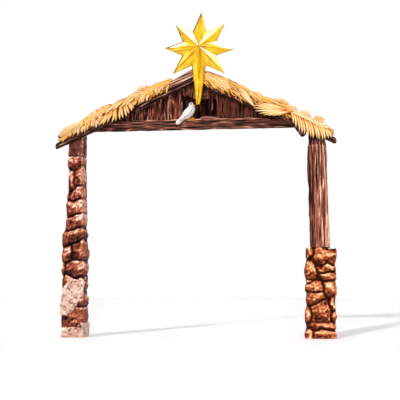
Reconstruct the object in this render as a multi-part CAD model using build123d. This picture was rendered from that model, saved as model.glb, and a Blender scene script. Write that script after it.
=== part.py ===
# Nativity stable: a gabled front carried by a stone pillar and a log post.
# Thatch covers the roof, a dove sits on the tie beam before the loft opening,
# and an eight-pointed star pulls out of the ridge block on two pins.
# Units are millimetres. X runs along the front, the front faces -Y, Z is up.
from build123d import *
import math
import os

# Timber frame
COLUMN_REACH = 161.0
BASE_OFFSET = 3.5
DOOR_HEIGHT = 274.5
HEEL_RISE = 0.45
PITCH = 24.6
EAVE_OVERHANG = 22.5
BEAM_H = 14.0
BEAM_D = 26.0
BEAM_HEW = 5.0
BARGE_H = 7.5
BARGE_D = 8.0
BARGE_BEVEL = 0.32
BARGE_CHAMFER = 1.3
DECK_T = 7.0
DECK_LIFT = 3.4
DECK_PLANKS = 3
DECK_GAP = 0.5
DECK_SETBACK = 7.0
DECK_FRONT_OVERHANG = 1.0
DECK_BACK_OVERHANG = 3.0

# Gable boards and loft
BOARD_W = 18.5
BOARD_T = 4.0
BOARD_GAP = 0.5
BOARD_SHORTEST = 4.0
FRONT_LEDGE = 6.0
BACK_LEDGE = 3.0
LOFT_W = 46.5
LOFT_X = 7.0
STUB_DROPS_LEFT = (17.0, 22.0)
STUB_DROPS_RIGHT = (33.0, 15.0)
STUB_BEVEL = 1.6

# Stone pillar on the left
PILLAR_CORE_W = 11.0
PILLAR_CORE_D = 17.0
FOOTING_W = 29.0
FOOTING_D = 39.0
FOOTING_H = 14.0
FOOTING_RISE = 11.0
LOWER_W = 28.0
LOWER_D = 38.0
LOWER_TOP = 147.0
UPPER_W = 19.5
UPPER_D = 26.0
CAP_H = 24.0
CAP_CHAMFER = 1.2

# Stone base on the right, with the log post standing in it
BASE_W = 41.0
BASE_D = 44.0
BASE_H = 117.0
BASE_CORE_W = 21.0
BASE_CORE_D = 23.0
LOG_D = 25.2
LOG_LOBES = 11
LOBE_TOP = 0.4
BARK_DEPTH = 1.2
LOG_LEAN = -2.6
NECK_D = 21.4
ROUND_SIDES = 12
NECK_DROP = 19.0
TENON_D = 13.0
TENON_L = 18.0
CORBEL_R = 4.5
CORBEL_L = 16.0
CORBEL_SLOPE = 54.0
CORBEL_DROP = 10.0
CORBEL_INSET = 3.0
CORBEL_CHAMFER = 2.0
CORBEL_Y = -5.0

# Stones: each course is its share of the height, the rise of its top joint from left to right,
# where its front is split, as shares of the width, and whether plaster takes its left front stone
BARE = False
PLASTERED = True
LOWER_COURSES = (
    (26.0, -2.0, (), BARE),
    (20.0, 3.0, (0.52,), PLASTERED),
    (19.0, -3.0, (0.76,), PLASTERED),
    (21.0, 4.0, (0.24,), BARE),
    (23.0, 8.0, (0.42,), BARE),
    (24.0, 0.0, (), BARE),
)
UPPER_COURSES = (
    (17.0, 2.0, (), BARE),
    (17.0, -2.0, (), BARE),
    (18.0, 5.0, (), BARE),
    (24.0, -3.0, (0.48,), BARE),
    (19.0, 0.0, (), BARE),
)
BASE_COURSES = (
    (11.5, 1.0, (0.3,), BARE),
    (8.5, 0.0, (0.17,), BARE),
    (26.0, 2.0, (0.21, 0.78), BARE),
    (14.0, -3.0, (0.62,), BARE),
    (14.0, 2.0, (0.55,), BARE),
    (10.0, -2.0, (0.34,), BARE),
    (14.0, 2.0, (0.37,), BARE),
    (19.0, 0.0, (0.25,), BARE),
)
MORTAR = 0.8
STONE_FLANK = 0.5
STONE_FACE = 0.76
STONE_CORNER = 0.25
PATCH_FACE = 0.9
SWAY_STEP = 2.4
SWAY_START = 0.7

# Thatch
THATCH_T = 9.0
THATCH_HEAD = 7.0
THATCH_CROWN = 0.8
THATCH_NOSE = 3.0
EAVE_THIN = 3.5
THATCH_FRONT_OVERHANG = 0.6
THATCH_BACK_OVERHANG = 2.0
LEFT_BARE = 27.0
RIGHT_BARE = 13.0
SHEAVES = (0.33, 0.34, 0.33)
LEAF_T = 3.0
LEAF_W = 6.4
LEAF_TOP = 5.0
LEAF_SHORT = 5.0
LEAF_LONG = 17.0
LEAF_LEAN = 14.0
LEAF_SWAY = 0.2
LEAF_GAP = 0.7
LEAF_SHOULDER = 0.45
LEFT_LONG_FROM = 78.0
FROND_LOWER_L = 53.7
FROND_REACH = 58.0
FROND_ARCH = 4.0
FROND_SAG = 13.0
FROND_LEAFLETS = 8
FROND_DROP = 15.0

# Star
STAR_RAYS = 8
STAR_X = 9.5
STAR_RISE = 36.0
STAR_TILT = 1.3
STAR_RAY = 46.0
STAR_TOP_RAY = 49.3
STAR_TAIL = 74.7
STAR_WAIST = 24.0
STAR_HEART_T = 8.5
STAR_HEART_UP = 2.0
STAR_WAIST_T = 3.4
STAR_TIP_T = 2.2
TAIL_TIP_W = 4.4
TAIL_TAPER_W = 8.0
TAIL_TAPER_DROP = 63.7
STAR_GAP = 0.5
PIN_D = 2.4
PIN_DROPS = (51.7, 58.2)
PIN_GRIP = 3.2
PIN_REACH = 9.0
PIN_FIT = 0.06
BLOCK_W = 20.0
BLOCK_BELOW_PINS = 6.0
BARGE_PIN_FIT = 0.5

# Dowels
DOWEL_D = 6.0
DOWEL_L = 30.0
PEG_D = 4.0
PEG_IN_BARGE = 5.0
PEG_IN_BACKING = 10.0
DOWEL_FIT = 0.05

# Dove
EGG_STEPS = 4
EGG_CAP = 0.3
DOVE_X = -6.5
DOVE_RISE = 8.0
DOVE_OUT = 2.8
DOVE_LEAN = 47.0
DOVE_R = 6.0
DOVE_RUMP = 13.5
DOVE_BREAST = 10.5
HEAD_R = 3.6
HEAD_OUT = 3.7
HEAD_UP = 11.0
NAPE_LOW_R = 5.0
NAPE_HIGH_R = 3.2
BIRD_TAIL_ROOT = 7.0
BIRD_TAIL_REACH = 22.3
BIRD_TAIL_ROOT_W = 6.4
BIRD_TAIL_W = 5.2
BIRD_TAIL_T = 4.4
WING_SHOULDER = 6.8
WING_TIP = 10.2
WING_W = 7.0
WING_T = 1.2
WING_INSIDE = 3.0
BEAK_L = 3.2
BEAK_R = 1.2
BEAK_TIP_R = 0.3
BEAK_OUT = 3.1
BEAK_BELOW = 1.1
BEAK_DROOP = 1.0
FOOT_W = 3.0
FOOT_H = 3.0
FOOT_T = 1.4
FOOT_PLACES = (-0.5, 4.0)

# Places that follow from the sizes above
SLOPE = math.tan(math.radians(PITCH))
COS = math.cos(math.radians(PITCH))
SIN = math.sin(math.radians(PITCH))
PILLAR_X = -COLUMN_REACH
BASE_X = COLUMN_REACH + BASE_OFFSET
PILLAR_INNER_X = PILLAR_X + UPPER_W / 2
PILLAR_OUTER_X = PILLAR_X - UPPER_W / 2
LOG_TOP_X = BASE_X + LOG_LEAN
BEAM_END_X = LOG_TOP_X - LOG_D / 2
EAVE_X = max(BASE_X, -PILLAR_X) + EAVE_OVERHANG
RIDGE_RISE = max(BEAM_END_X, -PILLAR_INNER_X) * SLOPE + HEEL_RISE
RIDGE_Z = DOOR_HEIGHT + RIDGE_RISE
BEAM_TOP = DOOR_HEIGHT + BEAM_H
BEAM_FRONT = -BEAM_D / 2
BEAM_BACK = BEAM_D / 2
BARGE_FRONT = BEAM_FRONT - BARGE_D
DECK_FRONT = BARGE_FRONT - DECK_FRONT_OVERHANG
DECK_BACK = BEAM_BACK + DECK_BACK_OVERHANG
THATCH_FRONT = DECK_FRONT - THATCH_FRONT_OVERHANG
THATCH_BACK = DECK_BACK + THATCH_BACK_OVERHANG
BOARD_FRONT = BEAM_FRONT + FRONT_LEDGE
BACK_BOARD_FRONT = BEAM_BACK - BACK_LEDGE - BOARD_T
STAR_BACK = THATCH_FRONT - LEAF_T - STAR_GAP
STAR_Z = RIDGE_Z + STAR_RISE
SLOPE_L = EAVE_X / COS
DECK_L = SLOPE_L - DECK_SETBACK
FROND_TIE = DECK_L - FROND_LOWER_L
DOVE_Y = BEAM_FRONT - DOVE_OUT
DOVE_Z = BEAM_TOP + DOVE_RISE
LEFT = -1
RIGHT = 1
FAR = 4 * EAVE_X


def deck_z(x):
    """Height of the deck's underside above a place along the front."""
    return RIDGE_Z - abs(x) * SLOPE


def roof_point(side, along, above):
    """Front-view place: a way down the slope from the ridge, and a way above the deck's underside."""
    x = side * (along * COS + above * SIN)
    return (x, RIDGE_Z - along * SIN + above * COS)


def plumb_start(above):
    """Way down the slope at which a line above the deck's underside crosses the ridge plane."""
    return -above * SIN / COS


def drawn(point):
    """Front-view place as a point of the XZ plane."""
    return (point[0], 0, point[1])


def thicken(face, front, back):
    """Face of the XZ plane made solid from its front to its back."""
    return Pos(0, front, 0) * extrude(face, amount=back - front, dir=(0, 1, 0))


def front_plate(points, front, back):
    """Plate of a front-view outline, from its front to its back."""
    return thicken(Face(Wire.make_polygon([drawn(point) for point in points])), front, back)


def under_deck(shape):
    """The piece with all that rises past the deck's underside cut away."""
    sky = [(-FAR, deck_z(FAR)), (0, RIDGE_Z), (FAR, deck_z(FAR)), (FAR, RIDGE_Z + FAR), (-FAR, RIDGE_Z + FAR)]
    return shape - front_plate(sky, -FAR, FAR)


def box_between(x0, x1, y0, y1, z0, z1):
    """Block between two corners."""
    middle = Pos((x0 + x1) / 2, (y0 + y1) / 2, (z0 + z1) / 2)
    return middle * Box(x1 - x0, y1 - y0, z1 - z0)


def peg(x, z, y0, y1, radius):
    """Round peg that runs from front to back."""
    middle = Pos(x, (y0 + y1) / 2, z) * Rot(90, 0, 0)
    return middle * Cylinder(radius, y1 - y0)


def sway(count):
    """Steady unevenness between -1 and 1 for the hand-laid pieces."""
    return math.sin(SWAY_STEP * count + SWAY_START)


def faceted(rings):
    """Closed body of flat faces through rings of as many points each."""
    faces = [Face(Wire.make_polygon(rings[0])), Face(Wire.make_polygon(rings[-1]))]
    for low, high in zip(rings, rings[1:]):
        for i in range(len(low)):
            j = (i + 1) % len(low)
            faces.append(Face(Wire.make_polygon([low[i], low[j], high[j], high[i]])))
    return Solid(Shell(faces))


def cut_corners(corners, share):
    """Outline with each corner cut off by a share of its shorter side."""
    outline = []
    for i, here in enumerate(corners):
        before = corners[i - 1]
        after = corners[(i + 1) % len(corners)]
        reach = share * min(math.dist(here, before), math.dist(here, after))
        for other in (before, after):
            step = reach / math.dist(here, other)
            outline.append((here[0] + step * (other[0] - here[0]), here[1] + step * (other[1] - here[1])))
    return outline


def shrink(outline, share, shift):
    """Outline drawn in towards a point beside its middle."""
    x = sum(p[0] for p in outline) / len(outline) + shift
    z = sum(p[1] for p in outline) / len(outline)
    return [(x + share * (p[0] - x), z + share * (p[1] - z)) for p in outline]


def dressed_stone(outline, seat, face_share, count):
    """Stone on its seat plane: straight flanks, then a drawn-in face."""
    depth = seat[1]
    slant = (1 - face_share) * (1 - STONE_CORNER)
    width = max(p[0] for p in outline) - min(p[0] for p in outline)
    face = shrink(outline, face_share, slant * width * sway(count) / 2)
    rings = []
    for ring, height in ((outline, 0), (outline, STONE_FLANK * depth), (face, depth)):
        rings.append([seat[0].from_local_coords((u, v, height)) for u, v in ring])
    return faceted(rings)


def joint_heights(floor, top, first_rise, courses):
    """Joints of a stack of courses, each as its middle height and its rise."""
    total = sum(course[0] for course in courses)
    joints = [(floor, first_rise)]
    for share, rise, _, _ in courses:
        joints.append((joints[-1][0] + share / total * (top - floor), rise))
    return joints


def course_stones(wall, low, high, course, count):
    """Stones of one course round a core: front and back rows, and one at each end."""
    middle, width, depth, core_w, core_d = wall
    _, _, splits, plastered = course
    gap = MORTAR / 2

    def joint_z(joint, u):
        return joint[0] + joint[1] * u / width

    def cell(u0, u1):
        corners = [(u0 + gap, joint_z(low, u0) + gap), (u1 - gap, joint_z(low, u1) + gap)]
        corners += [(u1 - gap, joint_z(high, u1) - gap), (u0 + gap, joint_z(high, u0) - gap)]
        return corners

    stones = []
    edges = [-width / 2] + [width * (share - 0.5) for share in splits] + [width / 2]
    front = Plane(origin=(middle, -core_d / 2, 0), x_dir=(1, 0, 0), z_dir=(0, -1, 0))
    back = Plane(origin=(middle, core_d / 2, 0), x_dir=(-1, 0, 0), z_dir=(0, 1, 0))
    row_depth = (depth - core_d) / 2
    for i, (u0, u1) in enumerate(zip(edges, edges[1:])):
        outline = cut_corners(cell(u0, u1), STONE_CORNER)
        behind = [(-u, v) for u, v in reversed(outline)]
        if i > 0 or not plastered:
            stones.append(dressed_stone(outline, (front, row_depth), STONE_FACE, count + i))
        stones.append(dressed_stone(behind, (back, row_depth), STONE_FACE, count - i))
    for side in (LEFT, RIGHT):
        flanks = (side * core_w / 2, side * width / 2)
        z0 = max(joint_z(low, u) for u in flanks) + gap
        z1 = min(joint_z(high, u) for u in flanks) - gap
        reach = core_d / 2 - gap
        corners = [(-reach, z0), (reach, z0), (reach, z1), (-reach, z1)]
        end = Plane(origin=(middle + side * core_w / 2, 0, 0), x_dir=(0, side, 0), z_dir=(side, 0, 0))
        seat = (end, (width - core_w) / 2)
        stones.append(dressed_stone(cut_corners(corners, STONE_CORNER), seat, STONE_FACE, count + side))
    return stones


def left_pillar():
    """Plastered footing, mortar core, dressed courses, plaster patch and plain cap block."""
    nodes = {}
    half = FOOTING_W / 2
    low = FOOTING_H - FOOTING_RISE / 2
    high = FOOTING_H + FOOTING_RISE / 2
    outline = [(PILLAR_X - half, 0), (PILLAR_X + half, 0), (PILLAR_X + half, high), (PILLAR_X - half, low)]
    footing = front_plate(outline, -FOOTING_D / 2, FOOTING_D / 2)
    nodes["left_footing"] = [footing]

    stack_top = deck_z(PILLAR_OUTER_X) - CAP_H
    dowel = Pos(PILLAR_X, 0, stack_top) * Cylinder(DOWEL_D / 2, DOWEL_L)
    dowel_hole = Pos(PILLAR_X, 0, stack_top) * Cylinder(DOWEL_D / 2 + DOWEL_FIT, DOWEL_L)
    core = box_between(PILLAR_X - PILLAR_CORE_W / 2, PILLAR_X + PILLAR_CORE_W / 2,
                       -PILLAR_CORE_D / 2, PILLAR_CORE_D / 2, 0, stack_top)
    nodes["left_pillar_core"] = [core - footing - dowel_hole]
    nodes["left_cap_dowel"] = [dowel]
    cap = box_between(PILLAR_OUTER_X, PILLAR_INNER_X, BEAM_FRONT, BEAM_BACK, stack_top, RIDGE_Z)
    cap = chamfer(cap.edges().filter_by(Axis.Z), CAP_CHAMFER)
    nodes["left_cap_block"] = [under_deck(cap) - dowel_hole - peg_hole(PILLAR_X)]

    floor_rise = FOOTING_RISE * LOWER_W / FOOTING_W
    lower = joint_heights(FOOTING_H, LOWER_TOP, floor_rise, LOWER_COURSES)
    upper = joint_heights(LOWER_TOP, stack_top, 0, UPPER_COURSES)
    number = 1
    for joints, courses, width, depth in ((lower, LOWER_COURSES, LOWER_W, LOWER_D),
                                          (upper, UPPER_COURSES, UPPER_W, UPPER_D)):
        wall = (PILLAR_X, width, depth, PILLAR_CORE_W, PILLAR_CORE_D)
        for i, course in enumerate(courses):
            name = f"left_course_{number:02d}"
            nodes[name] = course_stones(wall, joints[i], joints[i + 1], course, number)
            number += 1
    nodes["plaster_patch"] = [plaster_patch(lower)]
    return nodes


def plaster_patch(joints):
    """Plaster that fills the front of two courses, stepped along their joints."""
    gap = MORTAR / 2
    first, second = [i for i, course in enumerate(LOWER_COURSES) if course[3]]
    left = gap - LOWER_W / 2
    step = LOWER_W * (LOWER_COURSES[first][2][0] - 0.5) - gap
    right = LOWER_W * (LOWER_COURSES[second][2][0] - 0.5) - gap

    def on_joint(number, u, offset):
        return (u, joints[number][0] + joints[number][1] * u / LOWER_W + offset)

    outline = [on_joint(first, left, gap), on_joint(first, step, gap), on_joint(second, step, gap)]
    outline += [on_joint(second, right, gap), on_joint(second + 1, right, -gap)]
    outline.append(on_joint(second + 1, left, -gap))
    front = Plane(origin=(PILLAR_X, -PILLAR_CORE_D / 2, 0), x_dir=(1, 0, 0), z_dir=(0, -1, 0))
    return dressed_stone(outline, (front, (LOWER_D - PILLAR_CORE_D) / 2), PATCH_FACE, 0)


def right_base():
    """Mortar core with the log's socket, and the dressed courses round it."""
    core = box_between(BASE_X - BASE_CORE_W / 2, BASE_X + BASE_CORE_W / 2,
                       -BASE_CORE_D / 2, BASE_CORE_D / 2, 0, BASE_H)
    socket = Pos(BASE_X, 0, BASE_H - TENON_L / 2) * Cylinder(TENON_D / 2 + DOWEL_FIT, TENON_L)
    nodes = {"right_base_core": [core - socket]}
    joints = joint_heights(-MORTAR / 2, BASE_H, 0, BASE_COURSES)
    wall = (BASE_X, BASE_W, BASE_D, BASE_CORE_W, BASE_CORE_D)
    for i, course in enumerate(BASE_COURSES):
        name = f"right_course_{i + 1:02d}"
        nodes[name] = course_stones(wall, joints[i], joints[i + 1], course, i)
    return nodes


def log_post():
    """Barked log with a tenon below and a bare neck under the roof, leaning a little."""
    height = deck_z(LOG_TOP_X) - BASE_H
    way = Vector(LOG_LEAN, 0, height)
    bark_share = 1 - NECK_DROP / height
    valley = LOG_D / 2 - BARK_DEPTH
    turn = 360 / LOG_LOBES
    ring = []
    for i in range(LOG_LOBES):
        ring.append(Vector(valley, 0).rotate(Axis.Z, i * turn))
        for top in (0.5 - LOBE_TOP / 2, 0.5 + LOBE_TOP / 2):
            ring.append(Vector(LOG_D / 2, 0).rotate(Axis.Z, (i + top) * turn))
    foot = Pos(BASE_X, 0, BASE_H)
    bark = extrude(foot * make_face(Polyline(*ring, close=True)), amount=way.length * bark_share, dir=way)
    neck_foot = Pos(BASE_X + LOG_LEAN * bark_share, 0, BASE_H + height * bark_share)
    neck = extrude(neck_foot * RegularPolygon(NECK_D / 2, ROUND_SIDES), amount=way.length, dir=way)
    tenon = Pos(BASE_X, 0, BASE_H - TENON_L / 2) * Cylinder(TENON_D / 2, TENON_L)
    return under_deck(bark + neck + tenon) - peg_hole(LOG_TOP_X)


def corbel(log, beam):
    """Short round knee between the tie beam's underside and the log's inner side."""
    x = BEAM_END_X - CORBEL_INSET
    end = Pos(x, CORBEL_Y, DOOR_HEIGHT - CORBEL_DROP) * Rot(0, CORBEL_SLOPE - 90, 0)
    knee = extrude(RegularPolygon(CORBEL_R, ROUND_SIDES), amount=CORBEL_L)
    knee = end * chamfer(knee.faces().sort_by(Axis.Z)[0].edges(), CORBEL_CHAMFER)
    return under_deck(knee) - beam - log


def peg_place(x):
    """Front-view place of a barge peg: the middle of the barge log's depth."""
    return (x, deck_z(x) - BARGE_H / COS / 2)


def peg_hole(x):
    """Blind hole for a barge peg, in the barge log and in what it is pegged to."""
    place = peg_place(x)
    return peg(*place, BEAM_FRONT - PEG_IN_BARGE, BEAM_FRONT + PEG_IN_BACKING, PEG_D / 2 + DOWEL_FIT)


def beam_peg_x(side):
    """Where a barge log crosses the middle of the tie beam's height."""
    return side * (RIDGE_RISE - BEAM_H / 2 - BARGE_H / COS / 2) / SLOPE


def barge_pegs():
    """Blind pegs that hold the barge logs to the beam, the cap block and the log."""
    places = [PILLAR_X, beam_peg_x(LEFT), beam_peg_x(RIGHT), LOG_TOP_X]
    ends = (BEAM_FRONT - PEG_IN_BARGE, BEAM_FRONT + PEG_IN_BACKING)
    return [peg(*peg_place(x), *ends, PEG_D / 2) for x in places]


def tie_beam():
    """Beam between pillar and log, hewn away below at the back, its ends cut to the slope under the deck."""
    section = [(PILLAR_INNER_X, BEAM_FRONT, DOOR_HEIGHT), (PILLAR_INNER_X, BEAM_BACK, DOOR_HEIGHT + BEAM_HEW)]
    section += [(PILLAR_INNER_X, BEAM_BACK, BEAM_TOP), (PILLAR_INNER_X, BEAM_FRONT, BEAM_TOP)]
    beam = extrude(Face(Wire.make_polygon(section)), amount=BEAM_END_X - PILLAR_INNER_X, dir=(1, 0, 0))
    return under_deck(beam) - peg_hole(beam_peg_x(LEFT)) - peg_hole(beam_peg_x(RIGHT))


def barge_log(side, peg_xs):
    """Rounded log along the front edge of one slope, plumb cut at the ridge."""
    x, z = roof_point(side, -BARGE_H, -BARGE_H / 2)
    slope_way = (side * COS, 0, -SIN)
    section = Plane(origin=(x, BEAM_FRONT - BARGE_D / 2, z), x_dir=(0, 1, 0), z_dir=slope_way)
    corners = [(-BARGE_D / 2, -BARGE_H / 2), (BARGE_D / 2, -BARGE_H / 2)]
    corners += [(BARGE_D / 2, BARGE_H / 2), (-BARGE_D / 2, BARGE_H / 2)]
    round_log = make_face(Polyline(*cut_corners(corners, BARGE_BEVEL), close=True))
    log = extrude(section * round_log, amount=SLOPE_L + 2 * BARGE_H)
    half = Pos(side * EAVE_X / 2, 0, RIDGE_Z) * Box(EAVE_X, FAR, FAR)
    log = log & half
    tip = log.faces().sort_by(Axis.X)[-1 if side == RIGHT else 0]
    log = chamfer(tip.edges(), BARGE_CHAMFER)
    for peg_x in peg_xs:
        log = log - peg_hole(peg_x)
    for px, pz in pin_places():
        log = log - peg(px, pz, BARGE_FRONT, BEAM_FRONT, PIN_D / 2 + BARGE_PIN_FIT)
    return log


def deck_planks(side, name, bare, lift):
    """Planks that run down one slope, side by side from front to back, lifted where they are bare."""
    head = DECK_T + lift
    outline = [roof_point(side, plumb_start(0), 0), roof_point(side, DECK_L, 0)]
    outline += [roof_point(side, DECK_L, DECK_T), roof_point(side, bare, DECK_T)]
    outline.append(roof_point(side, plumb_start(head), head))
    step = (DECK_BACK - DECK_FRONT + DECK_GAP) / DECK_PLANKS
    nodes = {}
    for i in range(DECK_PLANKS):
        front = DECK_FRONT + i * step
        nodes[f"{name}_deck_plank_{i + 1}"] = [front_plate(outline, front, front + step - DECK_GAP)]
    return nodes


def upright(x0, x1, front):
    """Upright gable board from the tie beam to the deck."""
    board = box_between(x0 + BOARD_GAP / 2, x1 - BOARD_GAP / 2, front, front + BOARD_T, BEAM_TOP, RIDGE_Z)
    return under_deck(board)


def boards_outward(side, start, front):
    """Gable boards from a place outward, until the roof leaves no room for one."""
    room = (RIDGE_Z - BEAM_TOP - BOARD_SHORTEST) / SLOPE
    boards = []
    near = side * start
    while near < room:
        far = min(near + BOARD_W, room)
        boards.append(upright(min(side * near, side * far), max(side * near, side * far), front))
        near += BOARD_W
    return boards


def loft_stubs():
    """Short broken boards that hang at each side of the ridge block."""
    stubs = []
    left_span = (LOFT_X - LOFT_W / 2, STAR_X - BLOCK_W / 2)
    right_span = (STAR_X + BLOCK_W / 2, LOFT_X + LOFT_W / 2)
    for (x0, x1), drops in ((left_span, STUB_DROPS_LEFT), (right_span, STUB_DROPS_RIGHT)):
        width = (x1 - x0) / len(drops)
        for i, drop in enumerate(drops):
            a = x0 + i * width + BOARD_GAP / 2
            b = a + width - BOARD_GAP
            low = deck_z((a + b) / 2) - drop
            outline = [(a, RIDGE_Z), (a, low + STUB_BEVEL), (a + STUB_BEVEL, low)]
            outline += [(b - STUB_BEVEL, low), (b, low + STUB_BEVEL), (b, RIDGE_Z)]
            stubs.append(under_deck(front_plate(outline, BOARD_FRONT, BOARD_FRONT + BOARD_T)))
    return stubs


def ridge_block():
    """Block under the ridge that ties the barge logs and takes the star's pins."""
    low = min(z for _, z in pin_places()) - BLOCK_BELOW_PINS
    sides = (STAR_X - BLOCK_W / 2, STAR_X + BLOCK_W / 2)
    block = under_deck(box_between(*sides, BEAM_FRONT, BACK_BOARD_FRONT, low, RIDGE_Z))
    for x, z in pin_places():
        block = block - peg(x, z, BEAM_FRONT, BEAM_FRONT + PIN_REACH, PIN_D / 2 + PIN_FIT)
    return block


def sheaf(side, start, end, thin):
    """Bundle of straw across the roof: thin at its head, swelling, with a nose that may be thinned."""
    head = roof_point(side, start, DECK_T + THATCH_HEAD)
    crown = roof_point(side, (start + end) / 2, DECK_T + THATCH_T + THATCH_CROWN)
    brow = roof_point(side, end - THATCH_NOSE, DECK_T + THATCH_T - thin)
    nose = roof_point(side, end, DECK_T + THATCH_HEAD - thin)
    foot = roof_point(side, end, DECK_T)
    root = roof_point(side, start, DECK_T)

    top = ThreePointArc(drawn(head), drawn(crown), drawn(brow))
    rest = Polyline(*[drawn(point) for point in (brow, nose, foot, root, head)])
    return thicken(make_face([top, *rest.edges()]), THATCH_FRONT, THATCH_BACK)


def sheaves(side, name, bare):
    """The bundles of one slope, one below the other."""
    nodes = {}
    start = bare
    total = sum(SHEAVES)
    for i, share in enumerate(SHEAVES):
        end = start + share / total * (DECK_L - bare)
        thin = EAVE_THIN if i + 1 == len(SHEAVES) else 0
        nodes[f"{name}_sheaf_{i + 1}"] = [sheaf(side, start, end, thin)]
        start = end
    return nodes


def leaf(side, start, end, length, lean):
    """Lower edge of one hanging leaf: its two shoulders and its tip."""
    turn = math.radians(lean)
    hang = (side * math.sin(turn), -math.cos(turn))
    points = []
    places = [(start + LEAF_GAP, LEAF_SHOULDER), ((start + end) / 2, 1), (end - LEAF_GAP, LEAF_SHOULDER)]
    for along, share in places:
        x, z = roof_point(side, along, DECK_T)
        points.append((x + share * length * hang[0], z + share * length * hang[1]))
    return points


def fringe(side, start, end, long_from, front):
    """Row of leaves that hangs over the roof's edge from a band of straw, long ones past a place."""
    count = max(2, round((end - start) / LEAF_W))
    step = (end - start) / count
    outline = [roof_point(side, end, DECK_T + LEAF_TOP), roof_point(side, start, DECK_T + LEAF_TOP)]
    for i in range(count):
        a = start + i * step
        outline.append(roof_point(side, a, DECK_T))
        length = (LEAF_LONG if a > long_from else LEAF_SHORT) * (1 + LEAF_SWAY * sway(i))
        outline += leaf(side, a, a + step, length, LEAF_LEAN)
    outline.append(roof_point(side, end, DECK_T))
    return front_plate(outline, front, front + LEAF_T)


def palm_frond_upper():
    """Broad leaf that lies along the slope, from the tie up to a drooping tip."""
    tie = roof_point(RIGHT, FROND_TIE, DECK_T + LEAF_TOP)
    tip = roof_point(RIGHT, FROND_TIE - FROND_REACH, DECK_T - FROND_DROP)
    middle = FROND_TIE - FROND_REACH / 2
    over = roof_point(RIGHT, middle, DECK_T + FROND_ARCH)
    under = roof_point(RIGHT, middle, DECK_T - FROND_SAG)

    upper = ThreePointArc(drawn(tie), drawn(over), drawn(tip))
    lower = ThreePointArc(drawn(tip), drawn(under), drawn(tie))
    return thicken(make_face([upper, lower]), THATCH_FRONT - LEAF_T, THATCH_FRONT)


def palm_frond_lower():
    """Frond whose leaflets hang one beside another from its rib."""
    step = (DECK_L - FROND_TIE) / FROND_LEAFLETS
    outline = [roof_point(RIGHT, DECK_L, DECK_T + LEAF_TOP), roof_point(RIGHT, FROND_TIE, DECK_T + LEAF_TOP)]
    for i in range(FROND_LEAFLETS):
        a = FROND_TIE + i * step
        outline.append(roof_point(RIGHT, a, DECK_T))
        length = FROND_DROP * (1 + LEAF_SWAY * sway(i))
        outline += leaf(RIGHT, a, a + step, length, LEAF_LEAN)
    outline.append(roof_point(RIGHT, DECK_L, DECK_T))
    return front_plate(outline, THATCH_FRONT - LEAF_T, THATCH_FRONT)


def thatch():
    """Bundles, hanging leaves and the two palm fronds."""
    nodes = {}
    nodes.update(sheaves(LEFT, "left", LEFT_BARE))
    nodes.update(sheaves(RIGHT, "right", RIGHT_BARE))
    front = THATCH_FRONT - LEAF_T
    frond_tip = FROND_TIE - FROND_REACH
    nodes["left_fringe"] = [fringe(LEFT, LEFT_BARE, DECK_L, LEFT_LONG_FROM, front)]
    nodes["right_fringe"] = [fringe(RIGHT, RIGHT_BARE, frond_tip - LEAF_W, DECK_L, front)]
    back_left = fringe(LEFT, LEFT_BARE, DECK_L, DECK_L, THATCH_BACK)
    back_right = fringe(RIGHT, RIGHT_BARE, DECK_L, DECK_L, THATCH_BACK)
    nodes["back_fringe"] = [back_left, back_right]
    nodes["palm_frond_upper"] = [palm_frond_upper()]
    nodes["palm_frond_lower"] = [palm_frond_lower()]
    return nodes


def star_place(angle, radius):
    """Front-view place on the star, its angle turned clockwise from the upright ray."""
    turn = math.radians(angle + STAR_TILT)
    return (STAR_X + radius * math.sin(turn), STAR_Z + radius * math.cos(turn))


def pin_places():
    """Front-view places of the star's two pins, down the middle of its tail."""
    return [star_place(180, drop) for drop in PIN_DROPS]


def star_body():
    """Eight-pointed star: ridged rays from a raised heart, a long blunt tail and a flat back."""
    def corner(place, height):
        return Vector(place[0], STAR_BACK - height, place[1])

    def beside_tail(half, drop):
        return star_place(math.degrees(math.atan2(half, -drop)), math.hypot(half, drop))

    rim = []
    turn = 360 / STAR_RAYS
    for ray in range(STAR_RAYS):
        if ray == STAR_RAYS // 2:
            tail_first = len(rim)
            rim.append((beside_tail(TAIL_TAPER_W / 2, TAIL_TAPER_DROP), STAR_WAIST_T))
            rim.append((beside_tail(TAIL_TIP_W / 2, STAR_TAIL), STAR_TIP_T))
            rim.append((beside_tail(-TAIL_TIP_W / 2, STAR_TAIL), STAR_TIP_T))
            rim.append((beside_tail(-TAIL_TAPER_W / 2, TAIL_TAPER_DROP), STAR_WAIST_T))
        else:
            rim.append((star_place(turn * ray, STAR_TOP_RAY if ray == 0 else STAR_RAY), STAR_TIP_T))
        rim.append((star_place(turn * (ray + 0.5), STAR_WAIST), STAR_WAIST_T))
    heart = corner(star_place(0, STAR_HEART_UP), STAR_HEART_T)
    ridge_end = corner(star_place(180, TAIL_TAPER_DROP), (STAR_HEART_T + STAR_WAIST_T) / 2)
    faces = [Face(Wire.make_polygon([corner(place, 0) for place, _ in rim]))]
    for i in range(len(rim)):
        j = (i + 1) % len(rim)
        a = corner(*rim[i])
        b = corner(*rim[j])
        peak = ridge_end if tail_first <= i < tail_first + 3 else heart
        faces.append(Face(Wire.make_polygon([a, b, peak])))
        faces.append(Face(Wire.make_polygon([a, b, corner(rim[j][0], 0), corner(rim[i][0], 0)])))
    for i in (tail_first, tail_first + 3):
        faces.append(Face(Wire.make_polygon([corner(*rim[i]), ridge_end, heart])))
    body = Solid(Shell(faces))
    for x, z in pin_places():
        body = body - peg(x, z, STAR_BACK - PIN_GRIP, STAR_BACK, PIN_D / 2 + DOWEL_FIT)
    return body


def star_pins():
    """Two pins fixed in the star's back, which slide in the ridge block."""
    ends = (STAR_BACK - PIN_GRIP, BEAM_FRONT + PIN_REACH)
    return [peg(x, z, *ends, PIN_D / 2) for x, z in pin_places()]


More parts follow.
